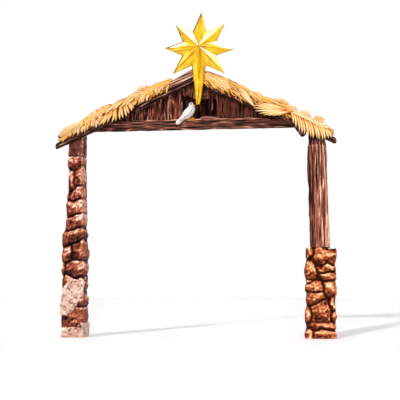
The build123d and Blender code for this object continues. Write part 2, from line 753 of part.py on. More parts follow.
def round_body(middle, stations):
    """Many-sided round body along a plane's X axis, through stations of a place and a radius each."""
    rings = []
    for along, radius in stations:
        ring = []
        for side in range(ROUND_SIDES):
            turn = 2 * math.pi * side / ROUND_SIDES
            ring.append(middle.from_local_coords((along, radius * math.cos(turn), radius * math.sin(turn))))
        rings.append(ring)
    return faceted(rings)


def egg(middle, back, front, radius):
    """Egg along a plane's X axis: two half ovals with a small flat at each end."""
    last = 2 * EGG_STEPS
    stations = []
    for step in [EGG_CAP, *range(1, last), last - EGG_CAP]:
        turn = math.pi * step / last
        reach = back if step < EGG_STEPS else front
        stations.append((-reach * math.cos(turn), radius * math.sin(turn)))
    return round_body(middle, stations)


def dove():
    """Dove on the beam's front edge: body with neck, head and tail, then wings, beak and feet."""
    heart = Vector(DOVE_X, DOVE_Y, DOVE_Z)
    turn = math.radians(DOVE_LEAN)
    middle = Plane(origin=heart, x_dir=(math.cos(turn), 0, math.sin(turn)), z_dir=(0, -1, 0))
    beam = box_between(-FAR, FAR, BEAM_FRONT, BEAM_BACK, DOOR_HEIGHT, BEAM_TOP)

    trunk = egg(middle, DOVE_RUMP, DOVE_BREAST, DOVE_R)
    nape = Vector(HEAD_OUT, 0, HEAD_UP)
    head = egg(Plane(origin=heart + nape, x_dir=nape, z_dir=(0, -1, 0)), HEAD_R, HEAD_R, HEAD_R)
    nape_plane = Plane(origin=heart, x_dir=nape, z_dir=(0, -1, 0))
    neck = round_body(nape_plane, [(0, NAPE_LOW_R), (nape.length, NAPE_HIGH_R)])
    fan = [(-BIRD_TAIL_ROOT, -BIRD_TAIL_ROOT_W / 2), (-BIRD_TAIL_REACH, -BIRD_TAIL_W / 2)]
    fan += [(-BIRD_TAIL_REACH, BIRD_TAIL_W / 2), (-BIRD_TAIL_ROOT, BIRD_TAIL_ROOT_W / 2)]
    tail = extrude(middle * make_face(Polyline(*fan, close=True)), amount=BIRD_TAIL_T / 2, both=True)
    body = trunk + head + neck + tail - beam

    shoulder = (WING_SHOULDER, 0)
    tip = (-WING_TIP, 0)
    half = (WING_SHOULDER - WING_TIP) / 2
    upper = ThreePointArc(tip, (half, WING_W / 2), shoulder)
    lower = ThreePointArc(shoulder, (half, -WING_W / 2), tip)
    wings = []
    for out in (LEFT, RIGHT):
        blade = middle.offset(out * WING_INSIDE) * make_face([upper, lower])
        wing = extrude(blade, amount=DOVE_R + WING_T - WING_INSIDE, dir=(0, -out, 0)) - body - beam
        wings.append(wing.solids().sort_by(SortBy.VOLUME)[-1])

    bill = Vector(BEAK_L, 0, -BEAK_DROOP)
    mouth = heart + nape + Vector(BEAK_OUT, 0, -BEAK_BELOW)
    bill_plane = Plane(origin=mouth, x_dir=bill, z_dir=(0, -1, 0))
    beak = round_body(bill_plane, [(0, BEAK_R), (bill.length, BEAK_TIP_R)]) - body
    feet = []
    for place in FOOT_PLACES:
        x = DOVE_X + place
        heights = (BEAM_TOP - FOOT_H, BEAM_TOP + FOOT_H)
        toes = box_between(x, x + FOOT_W, BEAM_FRONT - FOOT_T, BEAM_FRONT, *heights)
        feet.append((toes - body).solids().sort_by(Axis.Z)[0])
    return {"dove_body": [body], "dove_wings": wings, "dove_beak": [beak], "dove_feet": feet}


def assemble():
    """Every piece by its name, as a list of separate solids."""
    nodes = left_pillar()
    nodes.update(right_base())
    log = log_post()
    nodes["log_post"] = [log]
    nodes["tie_beam"] = [tie_beam()]
    nodes["right_corbel"] = [corbel(log, nodes["tie_beam"][0])]
    nodes["left_barge_log"] = [barge_log(LEFT, (PILLAR_X, beam_peg_x(LEFT)))]
    nodes["right_barge_log"] = [barge_log(RIGHT, (LOG_TOP_X, beam_peg_x(RIGHT)))]
    nodes["barge_pegs"] = barge_pegs()
    nodes.update(deck_planks(LEFT, "left", LEFT_BARE, DECK_LIFT))
    nodes.update(deck_planks(RIGHT, "right", RIGHT_BARE, 0))
    nodes["front_boards_left"] = boards_outward(LEFT, LOFT_X - LOFT_W / 2, BOARD_FRONT)
    nodes["front_boards_right"] = boards_outward(RIGHT, LOFT_X + LOFT_W / 2, BOARD_FRONT)
    nodes["back_boards"] = boards_outward(LEFT, 0, BACK_BOARD_FRONT)
    nodes["back_boards"] += boards_outward(RIGHT, 0, BACK_BOARD_FRONT)
    nodes["loft_stubs"] = loft_stubs()
    nodes["ridge_block"] = [ridge_block()]
    nodes.update(thatch())
    nodes.update(dove())
    nodes["star_body"] = [star_body()]
    nodes["star_pins"] = star_pins()
    return nodes


pieces = assemble()
whole = Compound([solid for solids in pieces.values() for part in solids for solid in part.solids()])
box = whole.bounding_box()
centred = Pos(-(box.min.X + box.max.X) / 2, -(box.min.Y + box.max.Y) / 2, 0)
os.makedirs("parts", exist_ok=True)
for name, solids in pieces.items():
    group = [centred * solid for part in solids for solid in part.solids()]
    export_step(group[0] if len(group) == 1 else Compound(group), f"parts/{name}.step")
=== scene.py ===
"""Looks of the nativity stable: sculpted stone, timber, thatch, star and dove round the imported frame.

Lengths are millimetres until a mesh is made. X runs along the front, the front faces -Y, Z is up.
"""
import math
import bpy
import bmesh
import numpy as np
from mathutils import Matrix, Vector

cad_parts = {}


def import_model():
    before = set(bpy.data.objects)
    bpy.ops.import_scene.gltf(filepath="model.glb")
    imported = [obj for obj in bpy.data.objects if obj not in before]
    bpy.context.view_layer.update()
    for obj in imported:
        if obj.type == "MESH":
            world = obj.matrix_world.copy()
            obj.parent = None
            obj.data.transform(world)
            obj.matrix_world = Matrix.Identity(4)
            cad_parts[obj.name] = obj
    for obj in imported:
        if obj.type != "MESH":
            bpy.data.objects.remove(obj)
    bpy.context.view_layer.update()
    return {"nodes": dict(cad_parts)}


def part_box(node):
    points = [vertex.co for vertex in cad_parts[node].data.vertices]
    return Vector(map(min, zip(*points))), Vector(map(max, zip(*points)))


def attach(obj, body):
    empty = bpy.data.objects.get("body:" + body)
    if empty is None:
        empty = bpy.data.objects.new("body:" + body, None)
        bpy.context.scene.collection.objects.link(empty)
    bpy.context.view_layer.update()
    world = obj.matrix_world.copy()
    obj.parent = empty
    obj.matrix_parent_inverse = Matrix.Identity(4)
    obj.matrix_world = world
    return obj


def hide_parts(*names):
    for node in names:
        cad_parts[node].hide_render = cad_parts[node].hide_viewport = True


MM = 0.001
LEFT = -1
RIGHT = 1
PITCH = math.radians(24.6)
COS = math.cos(PITCH)
SIN = math.sin(PITCH)
ALONG_X = np.array([1.0, 0.0, 0.0])
FRONTWARD = np.array([0.0, -1.0, 0.0])
BACKWARD = np.array([0.0, 1.0, 0.0])
UPWARD = np.array([0.0, 0.0, 1.0])

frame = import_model()


def corners(node):
    """Lowest and highest corner of a CAD node in mm."""
    low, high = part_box(node)
    return np.array(low) / MM, np.array(high) / MM


RIDGE_Z = corners("ridge_block")[1][2]
DECK_T = 7.0
THATCH_FRONT, THATCH_BACK = (corner[1] for corner in corners("left_sheaf_1"))
BEAM_LOW, BEAM_HIGH = corners("tie_beam")


# Noise

NOISE_SHIFT = 57.3


def lattice(cell, seed):
    """Steady random value from -1 to 1 at whole-number places."""
    n = cell[:, 0] * 374761393 + cell[:, 1] * 668265263 + cell[:, 2] * 1274126177 + seed * 974711
    n = (n ^ (n >> 13)) * 1103515245
    n = n ^ (n >> 16)
    return (n & 0xFFFF) / 32767.5 - 1.0


def soft_noise(points, size, seed):
    """Smooth noise from -1 to 1 with lumps of about the given size."""
    place = points / size + NOISE_SHIFT
    cell = np.floor(place).astype(np.int64)
    part = place - cell
    part = part * part * (3 - 2 * part)
    total = np.zeros(len(points))
    for corner in np.ndindex(2, 2, 2):
        weight = np.prod(np.where(corner, part, 1 - part), axis=1)
        total += weight * lattice(cell + np.array(corner), seed)
    return total


def ridged(points, size, seed):
    """Noise with sharp crests at 1."""
    return 1 - 2 * np.abs(soft_noise(points, size, seed))


def drift(points, size, seed):
    """Three noises as one vector for each place."""
    return np.column_stack([soft_noise(points, size, seed + n) for n in range(3)])


def stretched(points, along, stretch):
    """Places squeezed along one direction, so that noise on them runs that way."""
    way = points @ along
    return points - np.outer(way * (1 - 1 / stretch), along)


def bell(values, middle, width):
    """1 at the middle, falling away on both sides."""
    return np.exp(-((values - middle) / width) ** 2)


def unit(way):
    return way / np.linalg.norm(way)


# Meshes

def new_mesh(name, points, faces):
    mesh = bpy.data.meshes.new(name)
    mesh.from_pydata(points, [], faces)
    return mesh


def placed(name, data):
    """New object in the scene."""
    made = bpy.data.objects.new(name, data)
    bpy.context.scene.collection.objects.link(made)
    return made


def solids(node):
    """The separate solids of a CAD node, each as places in mm and faces."""
    whole = bmesh.new()
    whole.from_mesh(frame["nodes"][node].data)
    bmesh.ops.remove_doubles(whole, verts=whole.verts, dist=1e-6)
    seen = set()
    found = []
    for start in whole.verts:
        if start in seen:
            continue
        group = []
        queue = [start]
        seen.add(start)
        while queue:
            vert = queue.pop()
            group.append(vert)
            for edge in vert.link_edges:
                other = edge.other_vert(vert)
                if other not in seen:
                    seen.add(other)
                    queue.append(other)
        order = {vert: i for i, vert in enumerate(group)}
        faces = [[order[v] for v in face.verts] for face in whole.faces if face.verts[0] in order]
        found.append((np.array([vert.co for vert in group]) / MM, faces))
    whole.free()
    return found


def tube_faces(rows, sides, start=0):
    """Quads of a skin through rings of as many places each."""
    faces = []
    for i in range(rows - 1):
        for j in range(sides):
            a = start + i * sides + j
            b = start + i * sides + (j + 1) % sides
            faces.append((a, b, b + sides, a + sides))
    return faces


class Form:
    """A closed form of even quads that can be smoothed and pushed along its normals."""

    def __init__(self, points, faces):
        self.points = points
        self.faces = faces
        quads = np.array([face if len(face) == 4 else (*face, face[-1]) for face in faces])
        self.quads = quads
        pairs = np.vstack([quads[:, [i, (i + 1) % 4]] for i in range(4)])
        pairs = np.unique(np.sort(pairs, axis=1), axis=0)
        self.pairs = pairs[pairs[:, 0] != pairs[:, 1]]

    def mesh(self):
        return self.points, self.faces

    def averaged(self, values):
        """Mean of each place's neighbours."""
        count = len(self.points)
        a, b = self.pairs.T
        links = np.bincount(a, minlength=count) + np.bincount(b, minlength=count)
        columns = []
        for column in values.T:
            total = np.bincount(a, weights=column[b], minlength=count)
            total += np.bincount(b, weights=column[a], minlength=count)
            columns.append(total / np.maximum(links, 1))
        return np.array(columns).T

    def smoothed(self, rounds):
        points = self.points
        for _ in range(rounds):
            points = 0.5 * points + 0.5 * self.averaged(points)
        return points

    def normals(self):
        a, b, c, d = (self.points[self.quads[:, i]] for i in range(4))
        cross = np.cross(c - a, d - b)
        total = np.zeros_like(self.points)
        for i in range(4):
            np.add.at(total, self.quads[:, i], cross)
        return total / np.maximum(np.linalg.norm(total, axis=1, keepdims=True), 1e-9)

    def push(self, amount):
        self.points = self.points + self.normals() * np.asarray(amount).reshape(-1, 1)

    def proudness(self, rounds):
        """How far each place stands out of its smoothed surroundings, in mm."""
        return np.einsum("ij,ij->i", self.points - self.smoothed(rounds), self.normals())


def remeshed(points, faces, voxel):
    """The closed form laid out anew in even quads."""
    mesh = new_mesh("raw", points.tolist(), faces)
    raw = placed("raw", mesh)
    modifier = raw.modifiers.new("even", "REMESH")
    modifier.mode = "VOXEL"
    modifier.voxel_size = voxel
    even = raw.evaluated_get(bpy.context.evaluated_depsgraph_get())
    result = even.to_mesh()
    places = np.empty(len(result.vertices) * 3)
    result.vertices.foreach_get("co", places)
    quads = [tuple(face.vertices) for face in result.polygons]
    even.to_mesh_clear()
    bpy.data.objects.remove(raw)
    bpy.data.meshes.remove(mesh)
    return Form(places.reshape(-1, 3), quads)


def sculpt(node, voxel):
    """The node's solids as even forms."""
    return [remeshed(points, faces, voxel) for points, faces in solids(node)]


def joined(meshes):
    """Several meshes as one set of places and faces."""
    places = []
    faces = []
    start = 0
    for points, own in meshes:
        places.append(points)
        faces += [tuple(i + start for i in face) for face in own]
        start += len(points)
    return np.vstack(places), faces


def piece(name, shape, finish, nodes, relief, body="stable", tint=None, smooth=True):
    """New mesh that rides on a body and stands for CAD nodes."""
    points, faces = shape
    mesh = new_mesh(name, (points * MM).tolist(), faces)
    for label, values in (("relief", relief), ("tint", tint)):
        if values is not None:
            layer = mesh.attributes.new(label, "FLOAT", "POINT")
            values = np.broadcast_to(values, len(points))
            layer.data.foreach_set("value", np.clip(values, 0, 1).astype(np.float32))
    mesh.polygons.foreach_set("use_smooth", [smooth] * len(mesh.polygons))
    mesh.materials.append(finish)
    mesh.update()
    made = placed(name, mesh)
    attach(made, body)
    if nodes:
        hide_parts(*nodes)
    return made


def toned(values, spread):
    """Relief spread evenly about the middle of the paint's range."""
    return 0.5 + spread * (values - values.mean()) / values.std()


# Materials

def linear(code):
    """Colour code as linear red, green, blue and alpha."""
    parts = [int(code[i:i + 2], 16) / 255 for i in (1, 3, 5)]
    return [p / 12.92 if p <= 0.04045 else ((p + 0.055) / 1.055) ** 2.4 for p in parts] + [1.0]


class Nodes:
    """Adds nodes to a tree."""

    def __init__(self, tree):
        self.nodes = tree.nodes
        self.links = tree.links

    def feed(self, socket, value):
        """Link a socket to an output, or set it."""
        if isinstance(value, bpy.types.NodeSocket):
            self.links.new(value, socket)
        else:
            socket.default_value = value

    def add(self, kind, inputs, output=0, **settings):
        """New node with its settings and inputs; gives one of its outputs."""
        node = self.nodes.new("ShaderNode" + kind)
        for label, value in settings.items():
            setattr(node, label, value)
        for key, value in inputs.items():
            self.feed(node.inputs[key], value)
        return node.outputs[output]


class Finish(Nodes):
    """Builds one painted material out of nodes."""

    def __init__(self, name, roughness, shine=0.05):
        self.material = bpy.data.materials.new(name)
        self.material.use_nodes = True
        super().__init__(self.material.node_tree)
        self.set("Roughness", roughness)
        self.set("Specular IOR Level", shine)
        self.place = self.add("TexCoord", {}, "Object")

    def set(self, label, value):
        self.feed(self.nodes["Principled BSDF"].inputs[label], value)

    def attribute(self, label):
        return self.add("Attribute", {}, "Fac", attribute_name=label)

    def noise(self, size, detail=4.0, stretch=(1, 1, 1)):
        """Noise with lumps of a size in mm, stretched along the axes."""
        scale = [1 / (size * MM * share) for share in stretch]
        place = self.add("Mapping", {"Scale": scale, "Vector": self.place}, "Vector")
        return self.add("TexNoise", {"Scale": 1.0, "Detail": detail, "Vector": place}, "Fac")

    def math(self, operation, a, b):
        return self.add("Math", {0: a, 1: b}, operation=operation)

    def sway(self, base, noise, amount):
        """A value moved up and down by noise."""
        shift = self.math("MULTIPLY", self.math("SUBTRACT", noise, 0.5), amount)
        return self.math("ADD", base, shift)

    def ramp(self, value, stops):
        """Colours at places from 0 to 1, written as place and code in turn."""
        colour = self.add("ValToRGB", {"Fac": value}, "Color")
        words = stops.split()
        elements = colour.node.color_ramp.elements
        while len(elements) < len(words) / 2:
            elements.new(0.5)
        for element, place, code in zip(elements, words[::2], words[1::2]):
            element.position = float(place)
            element.color = linear(code)
        return colour

    def bump(self, height, strength, depth):
        inputs = {"Strength": strength, "Distance": depth * MM, "Height": height}
        self.set("Normal", self.add("Bump", inputs, "Normal"))


def painted(name, stops, roughness=0.75, speckle=1.3, amount=0.5, stretch=(1, 1, 1), bump=0.35):
    """Paint that is dark in the hollows and light on what stands out, as antiquing and dry-brushing and as painted
    shade and painted highlight.
    """
    finish = Finish(name, roughness)
    fine = finish.noise(speckle, 6.0, stretch)
    broad = finish.noise(speckle * 5, 3.0, stretch)
    value = finish.sway(finish.attribute("relief"), fine, amount)
    value = finish.sway(value, broad, amount * 0.8)
    finish.set("Base Color", finish.ramp(value, stops))
    inputs = {"Value": fine, "To Min": roughness - 0.12, "To Max": roughness + 0.15}
    finish.set("Roughness", finish.add("MapRange", inputs, "Result"))
    finish.bump(fine, bump, speckle * 0.3)
    return finish.material


def straw_finish(name, golden, cream):
    """Straw: each blade has its own tint, deep orange painted shade at its root and a cream painted highlight along its
    rib.
    """
    finish = Finish(name, 0.62)
    fine = finish.noise(1.6, 5.0, (3.0, 1.0, 1.6))
    value = finish.sway(finish.attribute("relief"), fine, 0.5)
    value = finish.sway(value, finish.noise(13.0, 2.0), 0.35)
    tint = finish.sway(finish.attribute("tint"), finish.noise(9.0, 3.0), 0.7)
    inputs = {"Factor": tint, "A": finish.ramp(value, golden), "B": finish.ramp(value, cream)}
    finish.set("Base Color", finish.add("Mix", inputs, "Result", data_type="RGBA"))
    finish.bump(fine, 0.4, 0.5)
    return finish.material


def gold_finish(name, stops):
    """Brushed gold paint: saturated in the strokes, a near white painted highlight on the facets that look up."""
    finish = Finish(name, 0.36, 0.2)
    stroke = finish.noise(2.2, 6.0)
    value = finish.sway(finish.attribute("relief"), stroke, 0.16)
    finish.set("Base Color", finish.ramp(value, stops))
    finish.bump(stroke, 0.12, 0.4)
    finish.set("Coat Weight", 0.12)
    finish.set("Coat Roughness", 0.18)
    return finish.material


def plain(name, dark, light, roughness, metallic=0.0):
    """Small plain surface with a little wear."""
    finish = Finish(name, roughness)
    fine = finish.noise(1.2, 4.0)
    finish.set("Base Color", finish.ramp(fine, f"0.25 {dark} 0.75 {light}"))
    finish.set("Metallic", metallic)
    finish.bump(fine, 0.1, 0.2)
    return finish.material


LEFT_STONE = painted("left_stone", "0 #0e0505 .16 #351612 .34 #6c3223 .5 #924c37 .67 #bb6f53 .84 #e2a98d 1 #fae4d6",
                     roughness=0.5, amount=0.65, bump=0.8)
CAP_STONE = painted("cap_stone", "0 #200d0b .2 #43221e .4 #5a312b .56 #6f3c32 .73 #8c4f43 .9 #bd7f6e 1 #e0b4a5",
                    roughness=0.62, speckle=1.6, amount=0.6, bump=0.5)
RIGHT_STONE = painted("right_stone", "0 #241006 .16 #481f0e .34 #6c3117 .5 #944825 .67 #c87145 .84 #f2b282 1 #ffecd4",
                      roughness=0.4, amount=0.6, bump=0.8)
TIMBER = painted("dark_timber", "0 #0c0605 .18 #2c1713 .36 #4c2a22 .52 #5f382f .7 #7e4d3f .87 #b3755e 1 #e0ae96",
                 stretch=(6, 1, 1))
BOARD = painted("gable_board", "0 #0d0605 .16 #2c1511 .34 #4d281f .52 #683528 .7 #84493a .87 #b06e57 1 #dfab94",
                stretch=(1, 1, 4))
# Barge logs: the frame's timber paint made darker, painted shade under the thatch's overhang
SHADED_BARGE = painted("shaded_barge_timber", "0 #090505 .2 #1c100f .4 #2f1b18 .58 #472820 .75 #714437 .9 #a87260 1 #d8ab98",
                stretch=(4, 1, 2))
ROOF_BOARD = painted("roof_board", "0 #180b08 .18 #4a281e .36 #85533f .52 #a87660 .7 #c3937d .87 #dcb6a2 1 #f2dccf",
                     stretch=(4, 1, 2))
BARK = painted("bark", "0 #170a08 .16 #402019 .34 #693a2c .5 #87503f .67 #b0705a .85 #e6a584 1 #fbdcc6",
               roughness=0.6, stretch=(1, 1, 5), bump=0.6)
PLASTER = painted("plaster", "0 #2c130d .17 #6f4536 .34 #ac806d .55 #cba897 .78 #dabaab 1 #ead2c6",
                  speckle=2.4, amount=0.6, bump=0.5)
MORTAR = plain("mortar", "#0e0806", "#1c100c", 0.85)
DOVE_WHITE = painted("white_paint", "0 #6e423b .25 #ad8077 .5 #d2b9b3 .75 #e2d6d3 1 #efe9e8",
                     roughness=0.45, speckle=1.4, amount=0.12, bump=0.12)
BEAK_OCHRE = plain("orange_paint", "#9a571c", "#d99a3c", 0.5)
EYE_DARK = plain("eye_paint", "#0c0908", "#1a1412", 0.25)
STEEL = plain("steel", "#77787a", "#a8a8aa", 0.35, 1.0)
STRAW = straw_finish("straw", golden="0 #371604 .2 #94480f .42 #d07e27 .7 #e8b052 1 #f3cf80",
                     cream="0 #5a290c .2 #bb6926 .42 #dda05c .7 #e6c290 1 #f2e4c6")
PALM = straw_finish("palm", golden="0 #4a2008 .2 #b0601c .42 #df9848 .7 #e8bc74 1 #f2d8a2",
                    cream="0 #6a3514 .2 #ca7f3c .42 #e6b272 .7 #edd4a2 1 #f7eed0")
GOLD = gold_finish("gold_paint", "0 #140d05 .12 #5a3a06 .28 #b8730a .42 #cb930c .58 #ddb410 .74 #e8cc3e .96 #f6f1d0")


# Stone

STONE_GRID = 0.85
STONE_CORNER = 4.5
STONE_PROUD = 0.3
STONE_BEVEL = 2.3
STONE_BEND = 2.2
STONE_JOINT = 2.7
FRONT_DEPTH = 30.0
BACK_DEPTH = 16.0
BACK_SHARE = 0.9
# A back row's half height, where it may split, how often it is one stone, a stone's lean, and the least row
ROW_HALF = (5.5, 9.5)
ROW_SPLIT = 0.45
ROW_WHOLE = 0.4
ROW_LEAN = 12
ROW_LEAST = 4
# A stone's facets: how many, their turn, fall and crest, then the stone's flat top, slant, step and deepest cut
FACETS = 5
FACET_TURN = 0.45
FACET_FALL = (3.0, 6.4)
FACET_CREST = (1.8, 3.8)
FACE_TOP = (1.2, 2.4)
FACE_SLANT = 0.9
FACE_STEP = (-0.5, 0.7)
FACE_DEEPEST = -3.2
STROKE_TURN = (0.2, 0.95)
STROKE_STRETCH = 3.2
STROKE_DEPTH = 0.22
CROWN_SHARES = (0.97, 0.85, 0.7, 0.55, 0.4, 0.25)

# Front stones: way across from the column's middle, height, half width, half height, lean in degrees
LEFT_LOWER_STONES = (
    (5, 27, 17, 11, 10), (-5, 47, 8, 10, 0), (11, 50, 8, 9, 12), (-7, 71, 8, 8, -15), (10, 70, 7, 10, 0),
    (6, 91, 13, 9.5, 6), (-12, 89, 3, 8, 0), (10, 113, 11, 13, 20), (-9, 109, 7.5, 10.5, -40), (-1, 135, 16, 9, 24))
LEFT_UPPER_STONES = (
    (3, 153, 12, 9, 30), (1, 173, 12, 9, 12), (4, 191, 12, 6.5, 34), (-7, 209, 4.5, 12, 0), (7, 215, 6.5, 11, -12),
    (1, 236, 11, 8.5, 14))
RIGHT_STONES = (
    (-14, 109, 5, 10, 0), (6, 106, 16, 9, 0), (-14, 88, 7.5, 11, 10), (8, 90, 12, 4.5, 4), (10, 79, 10, 5, -4),
    (-15, 73.5, 4.5, 4, 0), (-6, 66, 10.5, 6.5, -15), (14, 63, 8, 10.5, -10), (-7, 52, 12.5, 7, 24),
    (0, 33, 11, 13, -12), (15, 43, 4.5, 9.5, 0), (16, 28, 3.5, 6.5, 0), (-16, 30, 4.5, 9.5, 0), (1, 15.5, 16, 5, 0),
    (-16, 6.5, 6, 6.5, 0), (5, 5.5, 15.5, 6, 0))
LEFT_STEP_Z = 147
LEFT_SWELL = 0.10
RIGHT_LEAN = (-0.6, 1.2)
PATCH_OUTLINE = (
    (-173.1, 64), (-169, 70), (-164.1, 74.1), (-154.6, 74.6), (-147.5, 71.5), (-146.5, 60), (-149.5, 50),
    (-154.5, 44), (-160.9, 40.0), (-164.5, 33.4), (-169.8, 28.2), (-175.0, 32.1), (-176.2, 42.6), (-174.6, 53.1))
PATCH_PROUD = 2.6
PATCH_DEPTH = 8
PATCH_RAGGED = 3.2


class Stones:
    """Stones laid out on the faces of a column, each an oval cell with its own facets."""

    def __init__(self, seed):
        self.random = np.random.default_rng(seed)
        self.places = []
        self.sizes = []
        self.ways = []

    def add(self, place, half_w, half_h, lean, face, depth):
        """One stone: its middle, half sizes, lean in degrees, the way its face looks, and its depth."""
        level = np.cross(UPWARD, face)
        turn = math.radians(lean)
        along = level * math.cos(turn) + UPWARD * math.sin(turn)
        self.places.append(place)
        self.sizes.append((half_w, half_h, depth))
        self.ways.append((along, np.cross(face, along), face))

    def front(self, x, y, table):
        """The stones of a table on a front face."""
        for across, up, half_w, half_h, lean in table:
            self.add(np.array([x + across, y, up], float), half_w, half_h, lean, FRONTWARD, FRONT_DEPTH)

    def back(self, middle, half, floor, top):
        """Uneven rows of stones over a back face."""
        level = np.cross(UPWARD, BACKWARD)
        z = floor
        while z < top - ROW_LEAST:
            half_h = min(self.random.uniform(*ROW_HALF), (top - z) / 2)
            split = self.random.uniform(-ROW_SPLIT, ROW_SPLIT)
            spans = ((-1, 1),) if self.random.uniform() < ROW_WHOLE else ((-1, split), (split, 1))
            for low, high in spans:
                u = (low + high) / 2 * half[0]
                half_w = (high - low) / 2 * half[0]
                place = np.array([middle[0], middle[1], z + half_h]) + level * u + BACKWARD * half[1]
                self.add(place, half_w, half_h, self.random.uniform(-ROW_LEAN, ROW_LEAN), BACKWARD, BACK_DEPTH)
            z += 2 * half_h

    def relief(self, points):
        """Height of the carved stones at places on a column, how far each is from a joint, tones and strokes."""
        count = len(self.places)
        spans = np.empty((count, len(points)))
        local = []
        for i in range(count):
            offset = points - self.places[i]
            parts = [offset @ way / size for way, size in zip(self.ways[i], self.sizes[i])]
            local.append(parts[:2])
            spans[i] = np.sqrt(parts[0] ** 2 + parts[1] ** 2 + parts[2] ** 2)
        order = np.argsort(spans, axis=0)
        nearest = order[0]
        rows = np.arange(len(points))
        size = np.array([min(s[:2]) for s in self.sizes])[nearest]
        border = (spans[order[1], rows] - spans[nearest, rows]) * size * 0.5
        height, tone, stroke = np.zeros((3, len(points)))
        for i in range(count):
            mine = nearest == i
            u, v = (part[mine] for part in local[i])
            turn = self.random.uniform(*STROKE_TURN)
            level, rise = u * self.sizes[i][0], v * self.sizes[i][1]
            drawn = np.column_stack([(level * math.cos(turn) + rise * math.sin(turn)) / STROKE_STRETCH,
                                     rise * math.cos(turn) - level * math.sin(turn), np.full(len(u), 9.0 * i)])
            stroke[mine] = ridged(drawn, 3.4, 17) + 0.5 * soft_noise(drawn, 1.6, 19)
            slant = self.random.uniform(-FACE_SLANT, FACE_SLANT, 2)
            level = np.full(len(u), self.random.uniform(*FACE_TOP))
            start = self.random.uniform(0, math.pi)
            for k in range(FACETS):
                turn = start + 2 * math.pi * k / FACETS + self.random.uniform(-FACET_TURN, FACET_TURN)
                fall = self.random.uniform(*FACET_FALL)
                crest = self.random.uniform(*FACET_CREST)
                level = np.minimum(level, crest - fall * (u * math.cos(turn) + v * math.sin(turn)))
            level = np.maximum(level, FACE_DEEPEST)
            height[mine] = level + slant[0] * u + slant[1] * v + self.random.uniform(*FACE_STEP)
            tone[mine] = self.random.uniform(-1, 1)
        return height, border, tone, stroke


def even_ring(half_w, half_d, corner, count):
    """Evenly spaced places round a rounded rectangle."""
    path = []
    for x, y, start in ((1, 1, 0), (-1, 1, 90), (-1, -1, 180), (1, -1, 270)):
        for turn in np.radians(np.linspace(start, start + 90, 7)):
            path.append((x * (half_w - corner) + corner * math.cos(turn),
                         y * (half_d - corner) + corner * math.sin(turn)))
    path = np.array(path + path[:1])
    steps = np.concatenate([[0], np.cumsum(np.linalg.norm(np.diff(path, axis=0), axis=1))])
    even = np.linspace(0, steps[-1], count, endpoint=False)
    return np.column_stack([np.interp(even, steps, path[:, i]) for i in range(2)])


def column_form(middle, half, floor, top, widths):
    """Closed column of even quads: its width and depth follow shares given at heights."""
    count = int(4 * (half[0] + half[1]) / STONE_GRID)
    ring = even_ring(half[0], half[1], STONE_CORNER, count)
    levels = [(z, 1.0) for z in np.arange(floor, top, STONE_GRID)] + [(top, share) for share in CROWN_SHARES]
    rows = []
    for z, share in levels:
        scale = share * np.interp(z, *widths)
        rows.append(np.column_stack([middle[0] + ring[:, 0] * scale, middle[1] + ring[:, 1] * scale,
                                     np.full(count, z)]))
    faces = tube_faces(len(rows), count)
    last = len(rows) * count
    for j in range(count):
        faces.append((last, (j + 1) % count, j))
        faces.append((last + 1, last - count + j, last - count + (j + 1) % count))
    ends = [[middle[0], middle[1], z] for z in (floor, top)]
    return Form(np.vstack(rows + ends), faces)


def carve(form, stones, floor, seed, chip, plain_side, joint_colour_and_shade, brush_and_shade, curve, lift):
    """Cut the stones into a column, less deeply on its sides, and give the paint's relief: lighter tops and right sides
    as painted light, and light borders, dark joints and dark hollows that are partly the paint's own and partly painted
    highlight and painted shade.
    """
    flat = form.points.copy()
    sideways = form.normals()[:, 0]
    keep = 1 - plain_side * np.clip(sideways / 0.75, 0, 1) - 0.55 * np.clip(-sideways, 0, 1)
    height, border, tone, stroke = stones.relief(flat + STONE_BEND * drift(flat, 8.0, seed + 11))
    edge = np.clip(border / STONE_BEVEL, 0, 1)
    edge = edge * (1.5 - 0.5 * edge)
    warp = drift(flat, 6.0, seed + 5)
    chips = soft_noise(flat + 2.5 * warp, 3.6, seed) + 0.6 * soft_noise(flat + 1.5 * warp, 1.9, seed + 1)
    joint = STONE_JOINT * (0.75 + 0.5 * soft_noise(flat, 9.0, seed + 2))
    push = STONE_PROUD + keep * (height + chip * chips + STROKE_DEPTH * stroke - (1 - edge) * joint)
    form.push(push)
    form.points = form.smoothed(1)
    form.points[:, 2] = np.clip(form.points[:, 2], floor, None)
    normal = form.normals()
    streak = soft_noise(stretched(flat, np.array([0.6, 0.3, 0.75]), 3.0), 1.8, seed + 3)
    # Painted light: lighter where a face looks up or to the right, a little darker where it looks left
    side_painted_light = 0.34 * plain_side * np.maximum(normal[:, 0], 0)
    shine = 0.4 * normal[:, 2] + side_painted_light + 0.12 * np.minimum(normal[:, 0], 0)
    # Light line round each stone: dry-brushing and painted highlight
    rim = bell(border, STONE_BEVEL, 0.8) * (0.5 + 0.5 * soft_noise(flat, 7.0, seed + 4))
    # Lighter on what stands out and darker in hollows: dry-brushing and antiquing, and painted highlight and painted
    # shade
    brushed_and_shaded = np.clip(form.proudness(5), -0.9, 0.9)
    # Darker joints: the joints' own colour and painted shade
    relief = joint_colour_and_shade * edge + brush_and_shade * brushed_and_shaded + shine + 0.09 * tone + 0.10 * streak + 0.10 * stroke + 0.2 * rim
    # Stones that stand further out are painted lighter and recessed ones darker: painted shade
    return np.clip(toned(relief + 0.05 * np.clip(push, -4, 2.5), 0.30), 0, 1) ** curve + lift


